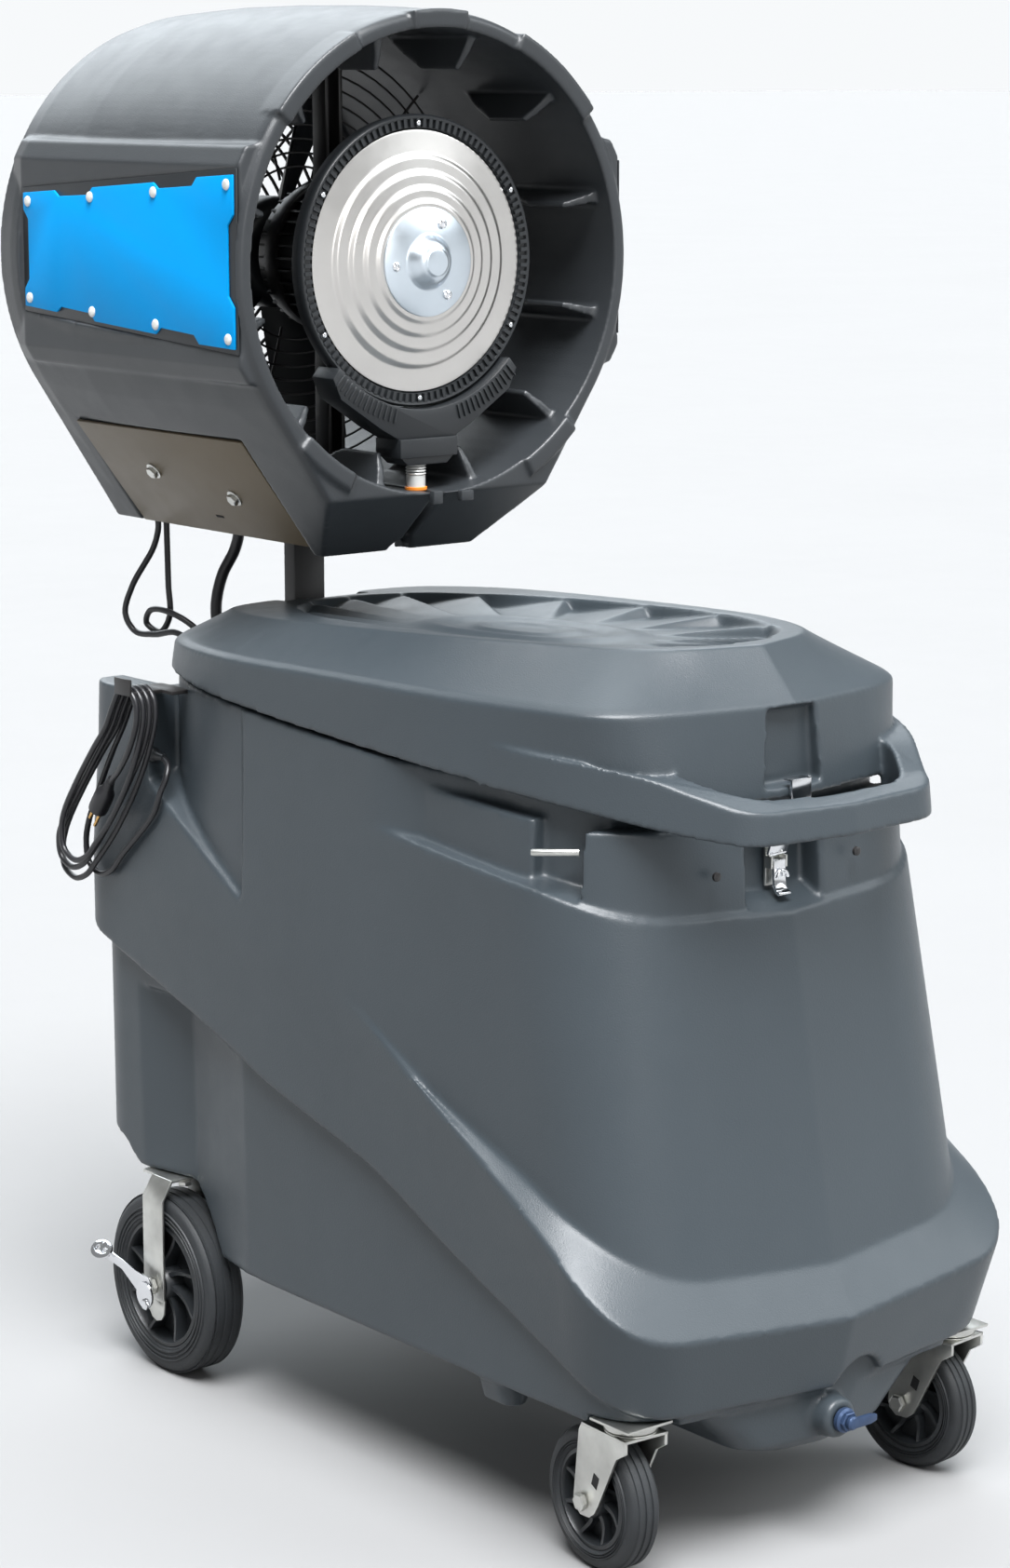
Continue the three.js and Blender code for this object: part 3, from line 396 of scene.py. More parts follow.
def cord_curve(name, route, radius, material):
    data = bpy.data.curves.new(name, "CURVE")
    data.dimensions = "3D"
    data.bevel_depth = radius * MM
    data.bevel_resolution = 3
    data.use_fill_caps = True
    spline = data.splines.new("POLY")
    spline.points.add(len(route) - 1)
    for point, place in zip(spline.points, world(route)):
        point.co = (*place, 1.0)
    data.materials.append(material)
    thing = bpy.data.objects.new(name, data)
    bpy.context.scene.collection.objects.link(thing)
    return thing


route = cord_route()
cord = cord_curve("power_cord", route, CORD_RADIUS, CORD)
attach(cord, "base")
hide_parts("cord_tail", "cord_hank")

plug_turn = Matrix.Rotation(HANK_ANGLE, 4, "X")
plug_place = (-266.0, *on_hank(143, -21))


def at_plug(profile, centre=(0, 0, 0), steps=20, solid=None):
    return (solid or Solid()).lathe("z", profile, centre, steps, turn=plug_turn, shift=plug_place)


finished(at_plug([(8, -21), (10.5, -20), (11, -14), (11, 2), (10, 8), (7.5, 12), (6.8, 14), (6.2, 15),
    (6.2, 17), (5.6, 18), (5.6, 20), (5.2, 21), (5.2, 23), (4.6, 24), (4.4, 29)]
).object("mains_plug"), CORD, "base", ["plug"])
pins = Solid()
for offset in (-6, 6):
    at_plug([(2, -21), (2, -38), (1.2, -40)][::-1], (0, offset, 0), 12, pins)
finished(pins.object("plug_pins"), BRASS, "base")

gland_profile = [(7, 0), (8.2, 0.8), (8.2, 4), (7.4, 5), (6.8, 7), (5.6, 9), (5.2, 12), (4.6, 16), (4.1, 22)]
gland = Solid().lathe("y", [(r, 355.7 - a * 0.99) for r, a in gland_profile], (-234, 0, 690), 20)
finished(gland.object("cord_strain_relief"), DARK, "base", ["cord_gland"])
tuple(float(v) for v in world(route[:1])[0])

# ---- Cables and hose between tank and head --------------------------------------------------------
LINK_TOP, LINK_FOOT = 913.7, 716.3
LINKS = {
    "cable_left": (3.5, [(-94, 548, LINK_TOP), (-94, 548, 904), (-97, 554, 882), (-113, 574, 838),
        (-118, 582, 806), (-113, 571, 787), (-107, 540, 786), (-100, 505, 791), (-88, 478, 772),
        (-73, 466, 742), (-71, 465, 726), (-71, 465, LINK_FOOT)]),
    "cable_right": (3.5, [(-84, 546, LINK_TOP), (-84, 546, 904), (-85, 544, 882), (-89, 537, 840),
        (-90, 534, 806), (-94, 547, 787), (-101, 564, 795), (-104, 553, 811), (-101, 528, 814),
        (-86, 492, 798), (-60, 469, 752), (-54, 465, 728), (-54, 465, LINK_FOOT)]),
    "water_hose": (6.5, [(-30, 482, LINK_TOP), (-30, 482, 900), (-33, 487, 880), (-43, 497, 852),
        (-50, 500, 815), (-48, 492, 778), (-35, 471, 746), (-32, 465, 730), (-32, 465, LINK_FOOT)]),
}
for node, (radius, points) in LINKS.items():
    link_route = smooth_curve(points[::-1], 10)
    link = finished(Solid().tube(link_route, radius, 14).object(f"{node}_run"), CORD, None,
        [node])
    spot(-80, 500, 800)
    spot(-80, 500, 905)
    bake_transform(link)


# ---- Outlines and body lines ----------------------------------------------------------------------
def profile(stations, sigma=22.0):
    """Height along Y through stations (y, z), its kinks rounded over about sigma millimetres."""
    ys = np.arange(-640.0, 760.0, 2.0)
    zs = np.interp(ys, *zip(*stations))
    if sigma:
        reach = np.arange(-3 * sigma, 3 * sigma + 1, 2.0)
        kernel = np.exp(-0.5 * (reach / sigma) ** 2)
        padded = np.pad(zs, len(reach) // 2, mode="edge")
        zs = np.convolve(padded, kernel / kernel.sum(), mode="valid")[: len(ys)]
    return lambda y: np.interp(y, ys[: len(zs)], zs)


def half_outline(corners, steps=280):
    """Evenly spaced points of a half outline from X = 0 to X = 0; each corner is (x, y, rounding)."""
    path = [np.array(corners[0][:2], float)]
    for i in range(1, len(corners) - 1):
        here = np.array(corners[i][:2], float)
        ends = []
        for other in (corners[i - 1], corners[i + 1]):
            step = np.array(other[:2], float) - here
            reach = np.linalg.norm(step)
            ends.append(here + step / reach * min(corners[i][2], reach * 0.48))
        for t in np.linspace(0, 1, 50):
            path.append((1 - t) ** 2 * ends[0] + 2 * t * (1 - t) * here + t * t * ends[1])
    path.append(np.array(corners[-1][:2], float))
    path = np.array(path)
    travelled = np.r_[0, np.cumsum(np.linalg.norm(np.diff(path, axis=0), axis=1))]
    even = np.linspace(0, travelled[-1], steps + 1)
    return np.stack([np.interp(even, travelled, path[:, k]) for k in (0, 1)], axis=1)


def mirrored(half):
    return np.vstack([half, half[1:-1][::-1] * (-1, 1)])


def pushed(ring, amount):
    """Moves a ring's points out along their normals by amount(y)."""
    along = np.roll(ring, -1, axis=0) - np.roll(ring, 1, axis=0)
    along /= np.linalg.norm(along, axis=1)[:, None]
    out = np.stack([along[:, 1], -along[:, 0]], axis=1)
    return ring + out * np.asarray(amount(ring[:, 1]))[:, None]


def at(ring, height):
    z = height(ring[:, 1]) if callable(height) else np.full(len(ring), float(height))
    return [(x, y, h) for (x, y), h in zip(ring, z)]


def seam(y):
    return 757 + 0.067 * y


overhang = profile([(-470, 155), (-436, 163), (-362, 200), (-277, 234), (-183, 273), (-56, 331), (124, 377),
    (213, 408), (452, 473), (510, 490)])
bumper_edge = profile([(-487, 228), (-451, 255), (-422, 280), (-345, 332), (-190, 415), (-28, 493),
    (500, 560)])
wall_foot = profile([(-455, 276), (-425, 299), (-370, 338), (-287, 380), (-133, 436), (-28, 500), (500, 575)])
ledge = profile([(-392, 615), (-350, 636), (-295, 655), (-70, 678), (500, 700)])
HALF_WIDTH, REAR = 256, 500


def tank_outline(front, corner, rounding, inset=0.0):
    half = HALF_WIDTH - inset
    return mirrored(half_outline([(0, front), (corner, front + 28, rounding), (half, -60, 160),
        (half, 180, 160), (half - 16, REAR - inset, 55), (0, REAR - inset)]))


pocket = profile([(-392, -32), (-200, -32), (-60, 0)], 14)
flare = profile([(-487, 17), (-400, 12), (-28, 0)])


def tank_shell():
    wide = tank_outline(-470, 262, 70)
    return Solid().loft([
        at(tank_outline(-456, 240, 66, 14), 153),
        at(tank_outline(-459, 244, 70, 13), overhang),
        at(tank_outline(-467, 253, 80), lambda y: overhang(y) + 3),
        at(pushed(wide, flare), bumper_edge),
        at(tank_outline(-455, 244, 110), wall_foot),
        at(tank_outline(-392, 236, 120, 6), ledge),
        at(pushed(tank_outline(-390, 236, 120, 6), pocket), lambda y: ledge(y) + 4),
        at(pushed(tank_outline(-384, 232, 120, 8), pocket), lambda y: seam(y) - 1.5),
    ])


def upper_band(inset, low, high):
    """The full-width band between ledge and lid, cut to a box from low to high."""
    band = Solid().loft([
        at(tank_outline(-391 + inset, 236 - inset, 120, 6 + inset), 600),
        at(tank_outline(-384 + inset, 232 - inset, 120, 8 + inset), lambda y: seam(y) - 22),
    ]).object("band")
    boolean(band, [Solid().box(low, high)], "INTERSECT")
    return band


def lid_outline(inset=0.0):
    return mirrored(half_outline([
        (0, -398 + inset), (170 - inset, -372 + inset, 60), (238 - inset, -230, 120), (252 - inset, 0, 160),
        (250 - inset, 250, 90), (205 - inset, 378 - inset, 90), (120 - inset, 416 - inset, 60),
        (0, 418 - inset)]))


def flank_recess(side):
    rings = [
        [(300, 170, 566), (300, 356, 650), (300, 356, 800), (300, 170, 800)],
        [(252, 170, 566), (205, 356, 672), (205, 356, 800), (252, 170, 800)],
        [(190, 170, 640), (150, 356, 690), (150, 356, 800), (190, 170, 800)],
    ]
    solid = Solid().loft([[(side * x, y, z) for x, y, z in ring] for ring in rings]).object("recess")
    inside_lid = Solid().loft([at(lid_outline(6), 500), at(lid_outline(6), 900)])
    return boolean(solid, [inside_lid], "DIFFERENCE")


def sump():
    def level(half, front, rear, z):
        corner = front + 0.107 * half + 3
        return at(mirrored(half_outline([(0, front), (half, corner, 30), (half, rear, 30), (0, rear)],
            80)), z)

    return Solid().loft([level(66, -441, -300, 96), level(98, -449, -270, 106), level(115, -452, -240, 124),
        level(142, -454, -220, 146), level(170, -454, -220, 162), level(170, -450, -220, 190)])


DRAIN_Z, DRAIN_FRONT = 129, -472
CASTER_Y = -407
FLANK_STEP = ((300, 520), (254, 500), (215, 312), (244, 168), (300, 146))
WHEEL_ARCH = [(240, 100), (243, 128), (252, 152), (263, 170), (277, 187), (296, 205), (318, 222), (402, 222),
    (440, 247), (520, 262), (520, 100)]
HORN_CENTRE, HORN_ROUNDING = (466, 723), 36


def foot_bump(side):
    """A small foot under the tank's edge."""
    rings = []
    for half, z in ((14, 127), (24, 160)):
        outline = mirrored(half_outline([(0, -26), (half, -20, 8), (half, 20, 8), (0, 26)], 12))
        rings.append(at(outline + (0, -222), z))
    return Solid().loft(rings, shift=(side * 216, 0, 0))


def flank_step(side):
    """The facet cut into the flank in front of the rear wheel, kept to what is below the overhang."""
    cutter = Solid().loft([[(side * x, y + lean, z) for x, y in FLANK_STEP] for lean,
        z in ((-4, 120), (4, 430))])
    edge = tank_outline(-470, 262, 70, -30)
    below = Solid().loft([at(edge, 60), at(edge, lambda y: overhang(y) - 6)])
    return boolean(cutter.object("step"), [below], "INTERSECT")


def caster_seat(side):
    inner, outer = outward(side, 178, 270)
    return Solid().box((inner, CASTER_Y - 50, 100), (outer, CASTER_Y + 36, 162))


def horn_corner():
    """What is cut away behind and above the rounded top of the rear horns, as an outline in Y and Z."""
    angles = np.linspace(0, math.pi / 2, 12)
    rounding = [(HORN_CENTRE[0] + HORN_ROUNDING * math.cos(t), HORN_CENTRE[1] + HORN_ROUNDING * math.sin(t))
        for t in angles]
    return [(530, 712)] + rounding + [(464, 775), (530, 775)]


def build_tank():
    tank = tank_shell().object("tank_body")
    boolean(tank, [sump()], "UNION")
    combined(tank, upper_band(12, (-300, -268, 590), (300, 120, 800)), "UNION")
    for side in (-1, 1):
        low, high = outward(side, 48, 260)
        combined(tank, upper_band(2, (low, -420, 590), (high, -325, 800)), "UNION")
    arch = Solid().rod("y", 37, -500, -449, (30, 0, DRAIN_Z + 18), 48)
    boolean(tank, [arch], "DIFFERENCE")
    boss = Solid().lathe("y", [(18, DRAIN_FRONT), (20, DRAIN_FRONT + 3), (25, DRAIN_FRONT + 40)],
        (0, 0, DRAIN_Z), 40)
    boolean(tank, [boss, foot_bump(-1), foot_bump(1)], "UNION")
    for side in (-1, 1):
        combined(tank, flank_recess(side), "DIFFERENCE")
    boolean(tank, [
        Solid().prism("x", horn_corner(), -300, 300),
        Solid().box((-300, 352, 757), (300, 520, 830)),
        Solid().box((-110, 372, 560), (110, 520, 830)),
        Solid().box((-188, 392, 640), (188, 520, 830)),
        Solid().prism("x", WHEEL_ARCH, -300, 300),
        caster_seat(-1),
        caster_seat(1),
        Solid().rod("y", 9, DRAIN_FRONT - 40, DRAIN_FRONT + 16, (0, 0, DRAIN_Z), 24),
    ], "DIFFERENCE")
    for side in (-1, 1):
        combined(tank, flank_step(side), "DIFFERENCE")
    return remeshed(tank, 2.8, 7, 0.5)


tank = finished(build_tank(), BODY, "base", ["tank"], sharp=180)


# ---- Lid -----------------------------------------------------------------------------------------
shoulder_height = profile([(-390, 826), (-20, 825), (420, 815)])
plateau_height = profile([(-345, 872), (-180, 868), (140, 852), (400, 838)])
PLATEAU = [(0, -345), (105, -310, 60), (152, -190, 90), (171, 0, 120), (176, 230, 80), (150, 330, 60),
    (110, 372, 50), (0, 376)]
DISH_CENTRE, DISH_HALF = (0.0, 8.0), (148.0, 330.0)
DISH_DEPTH, DISH_SQUARENESS = 13.0, 2.4
PETALS, PETAL_HEIGHT = 16, 12.0


def ring_of(corners):
    return mirrored(half_outline(corners))


def shoulder(inset):
    return ring_of([(0, -390 + inset), (150 - inset, -357 + inset, 50), (200 - inset, -322 + inset, 50),
        (243 - inset, -120, 120), (247 - inset, 230, 90), (200 - inset, 372 - inset, 90),
        (120 - inset, 410 - inset, 60), (0, 412 - inset)])


handle_foot = profile([(-478, 706), (-440, 708), (-335, 730), (-250, 741)], 14)
handle_top = profile([(-478, 737), (-430, 743), (-380, 768), (-320, 778), (-90, 788)], 12)


def build_lid():
    lid = Solid().loft([
        at(lid_outline(), lambda y: seam(y) + 1.5),
        at(shoulder(-3), lambda y: shoulder_height(y) - 6),
        at(shoulder(3), shoulder_height),
        at(ring_of(PLATEAU), plateau_height),
    ]).object("lid_body")
    outline = ring_of([(0, -478), (118, -466, 30), (207, -335, 60), (236, -225, 90), (236, -20, 30),
        (0, -20)])
    band = Solid().loft([at(outline, handle_foot),
        at(pushed(outline, lambda y: np.full(len(y), -3.0)), handle_top)]).object("band")
    finger_gap = Solid().loft([at(ring_of([(0, -447), (98, -440, 30), (135, -385, 20), (133, -366, 4),
        (0, -380)]),
        z) for z in (680, 800)])
    inside = Solid().loft([at(lid_outline(13), 600), at(lid_outline(13), 820)])
    below = Solid().loft([at(lid_outline(2), 600), at(lid_outline(2), lambda y: seam(y) + 1.5)])
    boolean(band, [finger_gap, inside, below], "DIFFERENCE")
    combined(lid, band, "UNION")
    latch_pocket = Solid().loft([
        [(x, y, z) for x, z in ((-half, 742), (half, 742), (half - 6, top), (6 - half, top))]
        for half, top, y in ((38, 824, -420), (36, 816, -376))])
    notch = Solid().loft([[(-w, 360 - w * 0.2, z), (w, 360 - w * 0.2, z), (w + 6, 440, z), (-w - 6, 440, z)]
        for w, z in ((46, 700), (46, 815), (74, 900))])
    boolean(lid, [latch_pocket, notch], "DIFFERENCE")
    remeshed(lid, 2.2, 8, 1.0)
    press_dish(lid.data)
    fewer = lid.modifiers.new("fewer", "DECIMATE")
    fewer.ratio = 0.5
    return applied(lid)


def press_dish(mesh):
    """Sinks the oval dish into the lid's top, with its wedge-shaped petals and its ring ridges."""
    count = len(mesh.vertices)
    co = np.empty(count * 3)
    mesh.vertices.foreach_get("co", co)
    co = co.reshape(-1, 3)
    x, y, z = co[:, 0] / MM, co[:, 1] / MM - DATUM, co[:, 2] / MM
    u, v = (x - DISH_CENTRE[0]) / DISH_HALF[0], (y - DISH_CENTRE[1]) / DISH_HALF[1]
    reach = (np.abs(u) ** DISH_SQUARENESS + np.abs(v) ** DISH_SQUARENESS) ** (1 / DISH_SQUARENESS)
    angle = np.arctan2(u, -v)
    on_top = z > plateau_height(y) - 8
    fall = np.clip((1.0 - reach) / 0.055, 0, 1)
    depth = DISH_DEPTH * fall * fall * (3 - 2 * fall)
    turn = (angle / (2 * np.pi) * PETALS + 0.25) % 1.0
    ridge = np.clip(1.0 - turn * 1.15, 0, 1) * np.clip(turn / 0.10, 0, 1)
    out = np.clip((reach - 0.52) / 0.40, 0, 1)
    depth -= PETAL_HEIGHT * ridge * out * fall
    for radius, rise, width in ((0.20, 3.0, 0.05), (0.40, 4.0, 0.07)):
        depth -= rise * np.exp(-((reach - radius) / width) ** 2)
    co[:, 2] = np.where(on_top & (reach < 1.0), z - np.maximum(depth, 0), z) * MM
    mesh.vertices.foreach_set("co", co.ravel())
    mesh.update()


lid = finished(build_lid(), BODY, "base", ["lid"], sharp=180)

# ---- Head shell ----------------------------------------------------------------------------------
HEAD_AXIS, DUCT_RADIUS = 1213, 240
HEAD_CENTRE = (0, 0, HEAD_AXIS)
HEAD_FRONT, HEAD_REAR = 152, 612
CHIN_HALF, CHIN_HEIGHT = 100, 905
FLAT, SHEET = 914, 4
YOKE_TIP, YOKE_CORNER = (192, 1030), (104, FLAT)
YOKE_FRONT, YOKE_REAR = 244, 560
PANEL = [(158, 1316), (158, 1127), (564, 1152), (564, 1287)]
PANEL_FACE = 250


def about_axis(turns):
    """The place of a part drawn about X = Z = 0, turned about the head's axis by a share of a full turn."""
    return {"turn": Matrix.Rotation(2 * math.pi * turns, 4, "Y"), "shift": HEAD_CENTRE}


def head_section(radius, y):
    start = math.radians(123)
    half = [(radius * math.sin(start * i / 60),
        HEAD_AXIS + radius * math.cos(start * i / 60)) for i in range(61)]
    half += [(half[-1][0] + (CHIN_HALF - half[-1][0]) * t, half[-1][1] + (CHIN_HEIGHT - half[-1][1]) * t)
        for t in (0.25, 0.5, 0.75)]
    half += [(CHIN_HALF, CHIN_HEIGHT), (0, CHIN_HEIGHT)]
    return [(x, y, z) for x, z in half + [(-x, z) for x, z in half[1:-1][::-1]]]


def yoke_outline(start, end, grow):
    corner, tip = Vector(YOKE_CORNER), Vector(YOKE_TIP)
    along = (tip - corner).normalized()
    inward = Vector((-along.y, along.x))
    tip = tip + along * grow

    def bend(depth):
        return corner + inward * depth + along * (depth * (1 - inward.y) / along.y)

    right = [bend(start), tip + inward * start, tip + inward * end, bend(end)]
    return [tuple(p) for p in right] + [(-p.x, p.y) for p in right[::-1]]


def fin(degrees):
    rings = []
    for radius, y0, y1, t in ((DUCT_RADIUS + 6, 172, 330, 6), (DUCT_RADIUS - 18, 180, 290, 4.5),
            (DUCT_RADIUS - 36, 190, 250, 3.2)):
        rings.append([(-t, y0, -radius), (t, y0, -radius), (t, y1, -radius), (-t, y1, -radius)])
    return Solid().loft(rings, turn=Matrix.Rotation(math.radians(degrees), 4, "Y"), shift=HEAD_CENTRE)


def rim_pad(start, end, inner, outer, front, back):
    """A raised block on the front rim between two angles from straight up."""
    angles = np.radians(np.linspace(start, end, 14))
    line = [(r * math.sin(a), HEAD_AXIS + r * math.cos(a))
        for r, seq in ((outer, angles), (inner, angles[::-1])) for a in seq]
    return Solid().prism("y", line, front, back)


def build_head():
    stations = [(252, HEAD_FRONT), (257, HEAD_FRONT + 5), (258.5, HEAD_FRONT + 14), (262, 230), (264, 290),
        (265, 380), (264, 470), (261, 530), (258, 580), (252, HEAD_REAR)]
    head = Solid().loft([head_section(r, y) for r, y in stations]).object("head_body")
    pads = []
    for side in (-1, 1):
        levels = []
        for y, inset in ((HEAD_FRONT + 6, 0), (566, 0), (600, 12)):
            levels.append([(side * (x - inset), y, z) for x, z in ((200, 1090), (240, 1098), (251, 1116),
                (251, 1316), (240, 1336), (200, 1345))])
        pads.append(Solid().loft(levels))
    blocks = [rim_pad(a, b, 236, 259.5, HEAD_FRONT - 5, HEAD_FRONT + 30)
        for a, b in ((-8, 8), (25, 53), (-53, -25), (135, 152), (-152, -135))]
    boolean(head, pads + blocks, "UNION")
    duct_line = [(0, HEAD_FRONT - 30), (DUCT_RADIUS, HEAD_FRONT - 30), (DUCT_RADIUS, HEAD_REAR - 24),
        (DUCT_RADIUS - 8, HEAD_REAR - 22), (DUCT_RADIUS - 8, HEAD_REAR + 20), (0, HEAD_REAR + 20)]
    duct = Solid().lathe("y", [(max(r, 0.01), a) for r, a in duct_line], HEAD_CENTRE, 96)
    front, rear = YOKE_FRONT - 1, YOKE_REAR + 1
    cuts = [Solid().prism("x", PANEL, *outward(side, PANEL_FACE - 0.5, 300)) for side in (-1, 1)]
    cuts += [
        Solid().prism("x", [(90, 973), (HEAD_FRONT, 973), (243.5, 890), (90, 890)], -200, 200),
        Solid().prism("y", yoke_outline(-12, SHEET + 0.6, 3), front, rear),
        Solid().box((-140, front, 860), (140, rear, FLAT + SHEET + 0.6)),
        Solid().box((-140, YOKE_REAR, 860), (140, HEAD_REAR + 5, FLAT + 0.6)),
        duct,
        Solid().box((-5, 100, 860), (5, 700, HEAD_AXIS - DUCT_RADIUS + 30)),
        Solid().prism("y", [(-14, 860), (14, 860), (14, 912), (5, 921), (-5, 921), (-14, 912)], 130, 240),
    ]
    for side in (-1, 1):
        crease = [[(side * x, y, z) for x, z in ((224 - depth, 1348), (300, 1342), (300, 1356))]
            for y, depth in ((190, 0), (240, 10), (520, 10), (590, 0))]
        cuts.append(Solid().loft(crease))
    boolean(head, cuts, "DIFFERENCE")
    boolean(head, [fin(a) for a in (15, 45, 75, 105, 135, 165, -15, -45, -75, -105, -135, -165)], "UNION")
    return remeshed(head, 2.3, 4, 0.36)


head = finished(build_head(), HEAD, "head", ["head_shell"], sharp=180)

# ---- Side panels ---------------------------------------------------------------------------------
PANEL_LINE = [(163, 1308), (226, 1304), (235, 1295), (296, 1291), (305, 1297), (420, 1289), (429, 1281),
    (486, 1278), (495, 1284), (557, 1280), (557, 1262), (548, 1252), (548, 1188), (557, 1178), (557, 1159),
    (495, 1155), (486, 1161), (429, 1157), (420, 1149), (305, 1142), (296, 1149), (235, 1145), (226, 1136),
    (163, 1134), (163, 1176), (173, 1187), (173, 1257), (163, 1268)]
RIVETS = [(173, 1298), (173, 1144), (304, 1287), (304, 1152), (424, 1279), (424, 1159), (547, 1271),
    (547, 1168)]
for side, name in SIDES:
    backing = [(y + math.copysign(1.5, 360 - y), z + math.copysign(1.5, HEAD_AXIS + 6 - z)) for y, z in PANEL]
    plate = Solid().prism("x", backing, *outward(side, PANEL_FACE, PANEL_FACE + 2.2))
    finished(plate.object(f"panel_backing_{name}"), DARK, "head", bevel=1.0)
    skin = Solid().prism("x", PANEL_LINE, *outward(side, PANEL_FACE + 2.2, PANEL_FACE + 5))
    finished(skin.object(f"panel_skin_{name}"), BLUE, "head", [f"side_panel_{name}"], bevel=0.8)
    studs = Solid()
    for y, z in RIVETS:
        dome = [(5.8, 0), (5.8, 0.7), (4.8, 1.9), (3.0, 2.7), (0.8, 3.0)]
        studs.lathe("x", [(r, side * (PANEL_FACE + 4.9 + a)) for r, a in dome], (0, y, z), 20)
    finished(studs.object(f"panel_rivets_{name}"), WHITE, "head")

# ---- Yoke and its bolts --------------------------------------------------------------------------
yoke = Solid().prism("y", yoke_outline(0, SHEET, 0), YOKE_FRONT, YOKE_REAR).object("yoke_sheet")
finished(yoke, TAUPE, "head", ["yoke"], bevel=1.2)
WING_SLOPE = math.atan2(YOKE_TIP[1] - YOKE_CORNER[1], YOKE_TIP[0] - YOKE_CORNER[0])


def on_wing(side, y, climb):
    """The place, on a sloping wing of the yoke, of a part drawn along X; climb is measured up the slope."""
    x = YOKE_CORNER[0] + math.cos(WING_SLOPE) * climb
    return {"turn": Matrix.Rotation(side * (math.pi / 2 - WING_SLOPE), 4, "Y"),
        "shift": (side * x, y, YOKE_CORNER[1] + math.sin(WING_SLOPE) * climb)}


for side, name in SIDES:
    bolts = Solid()
    for y, climb in ((330, 60), (462, 84)):
        for line, steps in (([(10, 0), (10, 1.6), (9, 2)], 24),
                ([(6.4, 2), (7.2, 2.6), (7.2, 6), (5.6, 7)], 6)):
            bolts.lathe("x", [(r, side * a) for r, a in line], (0, 0, 0), steps, **on_wing(side, y, climb))
    finished(bolts.object(f"yoke_bolts_{name}"), ZINC, "head", sharp=30)
    # A thin near-black box on each wing: painted shade standing for the shadowed inside of a slot.
    slot = Solid().box((-0.3, -7, -1.6), (0.5, 7, 1.6), **on_wing(side, 388, 26))
    finished(slot.object(f"yoke_slot_shade_{name}"), SLOT_SHADE, "head")
nuts = Solid()
for x, y in ((-60, 270), (60, 270), (-60, 530), (60, 530)):
    nuts.hexagon("z", 9, FLAT - 4.5, FLAT + 0.5, (x, y, 0))
finished(nuts.object("yoke_nuts"), ZINC, "head", sharp=30)

# ---- Atomiser: disc, hub, ring, housing ----------------------------------------------------------
DISC_FACE = 192.0
disc_line = [(136, 1.5), (136, 0), (134, -0.6), (114, -2.2), (111, -3.2), (109, -6.4), (106, -7.2),
    (97, -7.8), (94, -8.6), (92, -11.6), (89, -12.4), (81, -12.8), (78, -13.6), (76, -16.4), (73, -17.0),
    (67, -17.2), (64, -18.0), (62, -20.2), (60, -20.6), (57, -20.6), (57, -16), (100, -4), (134, 3)]
disc = Solid().lathe("y", [(r, DISC_FACE + a * 0.86) for r, a in disc_line], HEAD_CENTRE, 128, True)
finished(disc.object("atomiser_plate"), DISC, "rotor", ["atomiser_disc"], sharp=50)
hub_line = [(57, -14), (57, -19.2), (56, -20), (31, -20.4), (28.6, -21.2), (26.5, -24), (23.5, -28.5),
    (19.5, -32.5), (16.5, -34), (14.6, -34.6), (13.8, -35.6), (12.6, -36), (0.01, -36)]
hub = Solid().lathe("y", [(r, DISC_FACE + a) for r, a in [(0.01, -10), (57, -10)] + hub_line],
    HEAD_CENTRE, 96)
finished(hub.object("hub_cap"), HUB, "rotor", ["hub_plate"], sharp=50)
screws = Solid()
for k in range(3):
    a = math.radians(65 + 120 * k)
    place = (43 * math.cos(a), 0, HEAD_AXIS + 43 * math.sin(a))
    screws.lathe("y", [(5, DISC_FACE - 20), (5, DISC_FACE - 21.6), (3.2, DISC_FACE - 22.8),
        (2.4, DISC_FACE - 22.8), (2.2, DISC_FACE - 21.4), (0.01, DISC_FACE - 21.4)], place, 18)
finished(screws.object("hub_screws"), CHROME, "rotor")
ring_line = [(137.2, 2), (138, 0.5), (146.4, 0), (147.5, -2.6), (150, -3.2), (152, -1.5), (152.4, 6),
    (151, 15), (140, 16), (137, 13)]
ring = Solid().lathe("y", [(r, DISC_FACE + a) for r, a in ring_line], HEAD_CENTRE, 128, True)
finished(ring.object("slinger_body"), DARK, "rotor", ["slinger_ring"], sharp=50)
teeth = Solid()
TEETH = 108
for k in range(TEETH):
    teeth.box((-2.0, DISC_FACE - 3.4, 138.6), (2.0, DISC_FACE + 0.4, 147.6), **about_axis(k / TEETH))
finished(teeth.object("slinger_teeth"), DARK, "rotor", sharp=30)
ring_screws = Solid()
for k in range(6):
    a = math.radians(30 + 60 * k)
    ring_screws.lathe("y", [(2.6, DISC_FACE - 3), (2.6, DISC_FACE - 4.4), (1.4, DISC_FACE - 5)],
        (143 * math.cos(a), 0, HEAD_AXIS + 143 * math.sin(a)), 12)
finished(ring_screws.object("slinger_screws"), CHROME, "rotor")
housing_line = [(32, 18), (134, 18), (137, 19.5), (137, 23), (112, 30), (70, 40), (44, 48), (44, 69.6),
    (32, 69.6)]
housing = Solid().lathe("y", [(r, DISC_FACE + a) for r, a in housing_line], HEAD_CENTRE, 96, True)
for k in range(24):
    housing.box((-1.5, DISC_FACE + 22, 60), (1.5, DISC_FACE + 34, 130), **about_axis(k / 24))
finished(housing.object("housing_cover"), DARK, "head", ["ring_housing"], sharp=40)

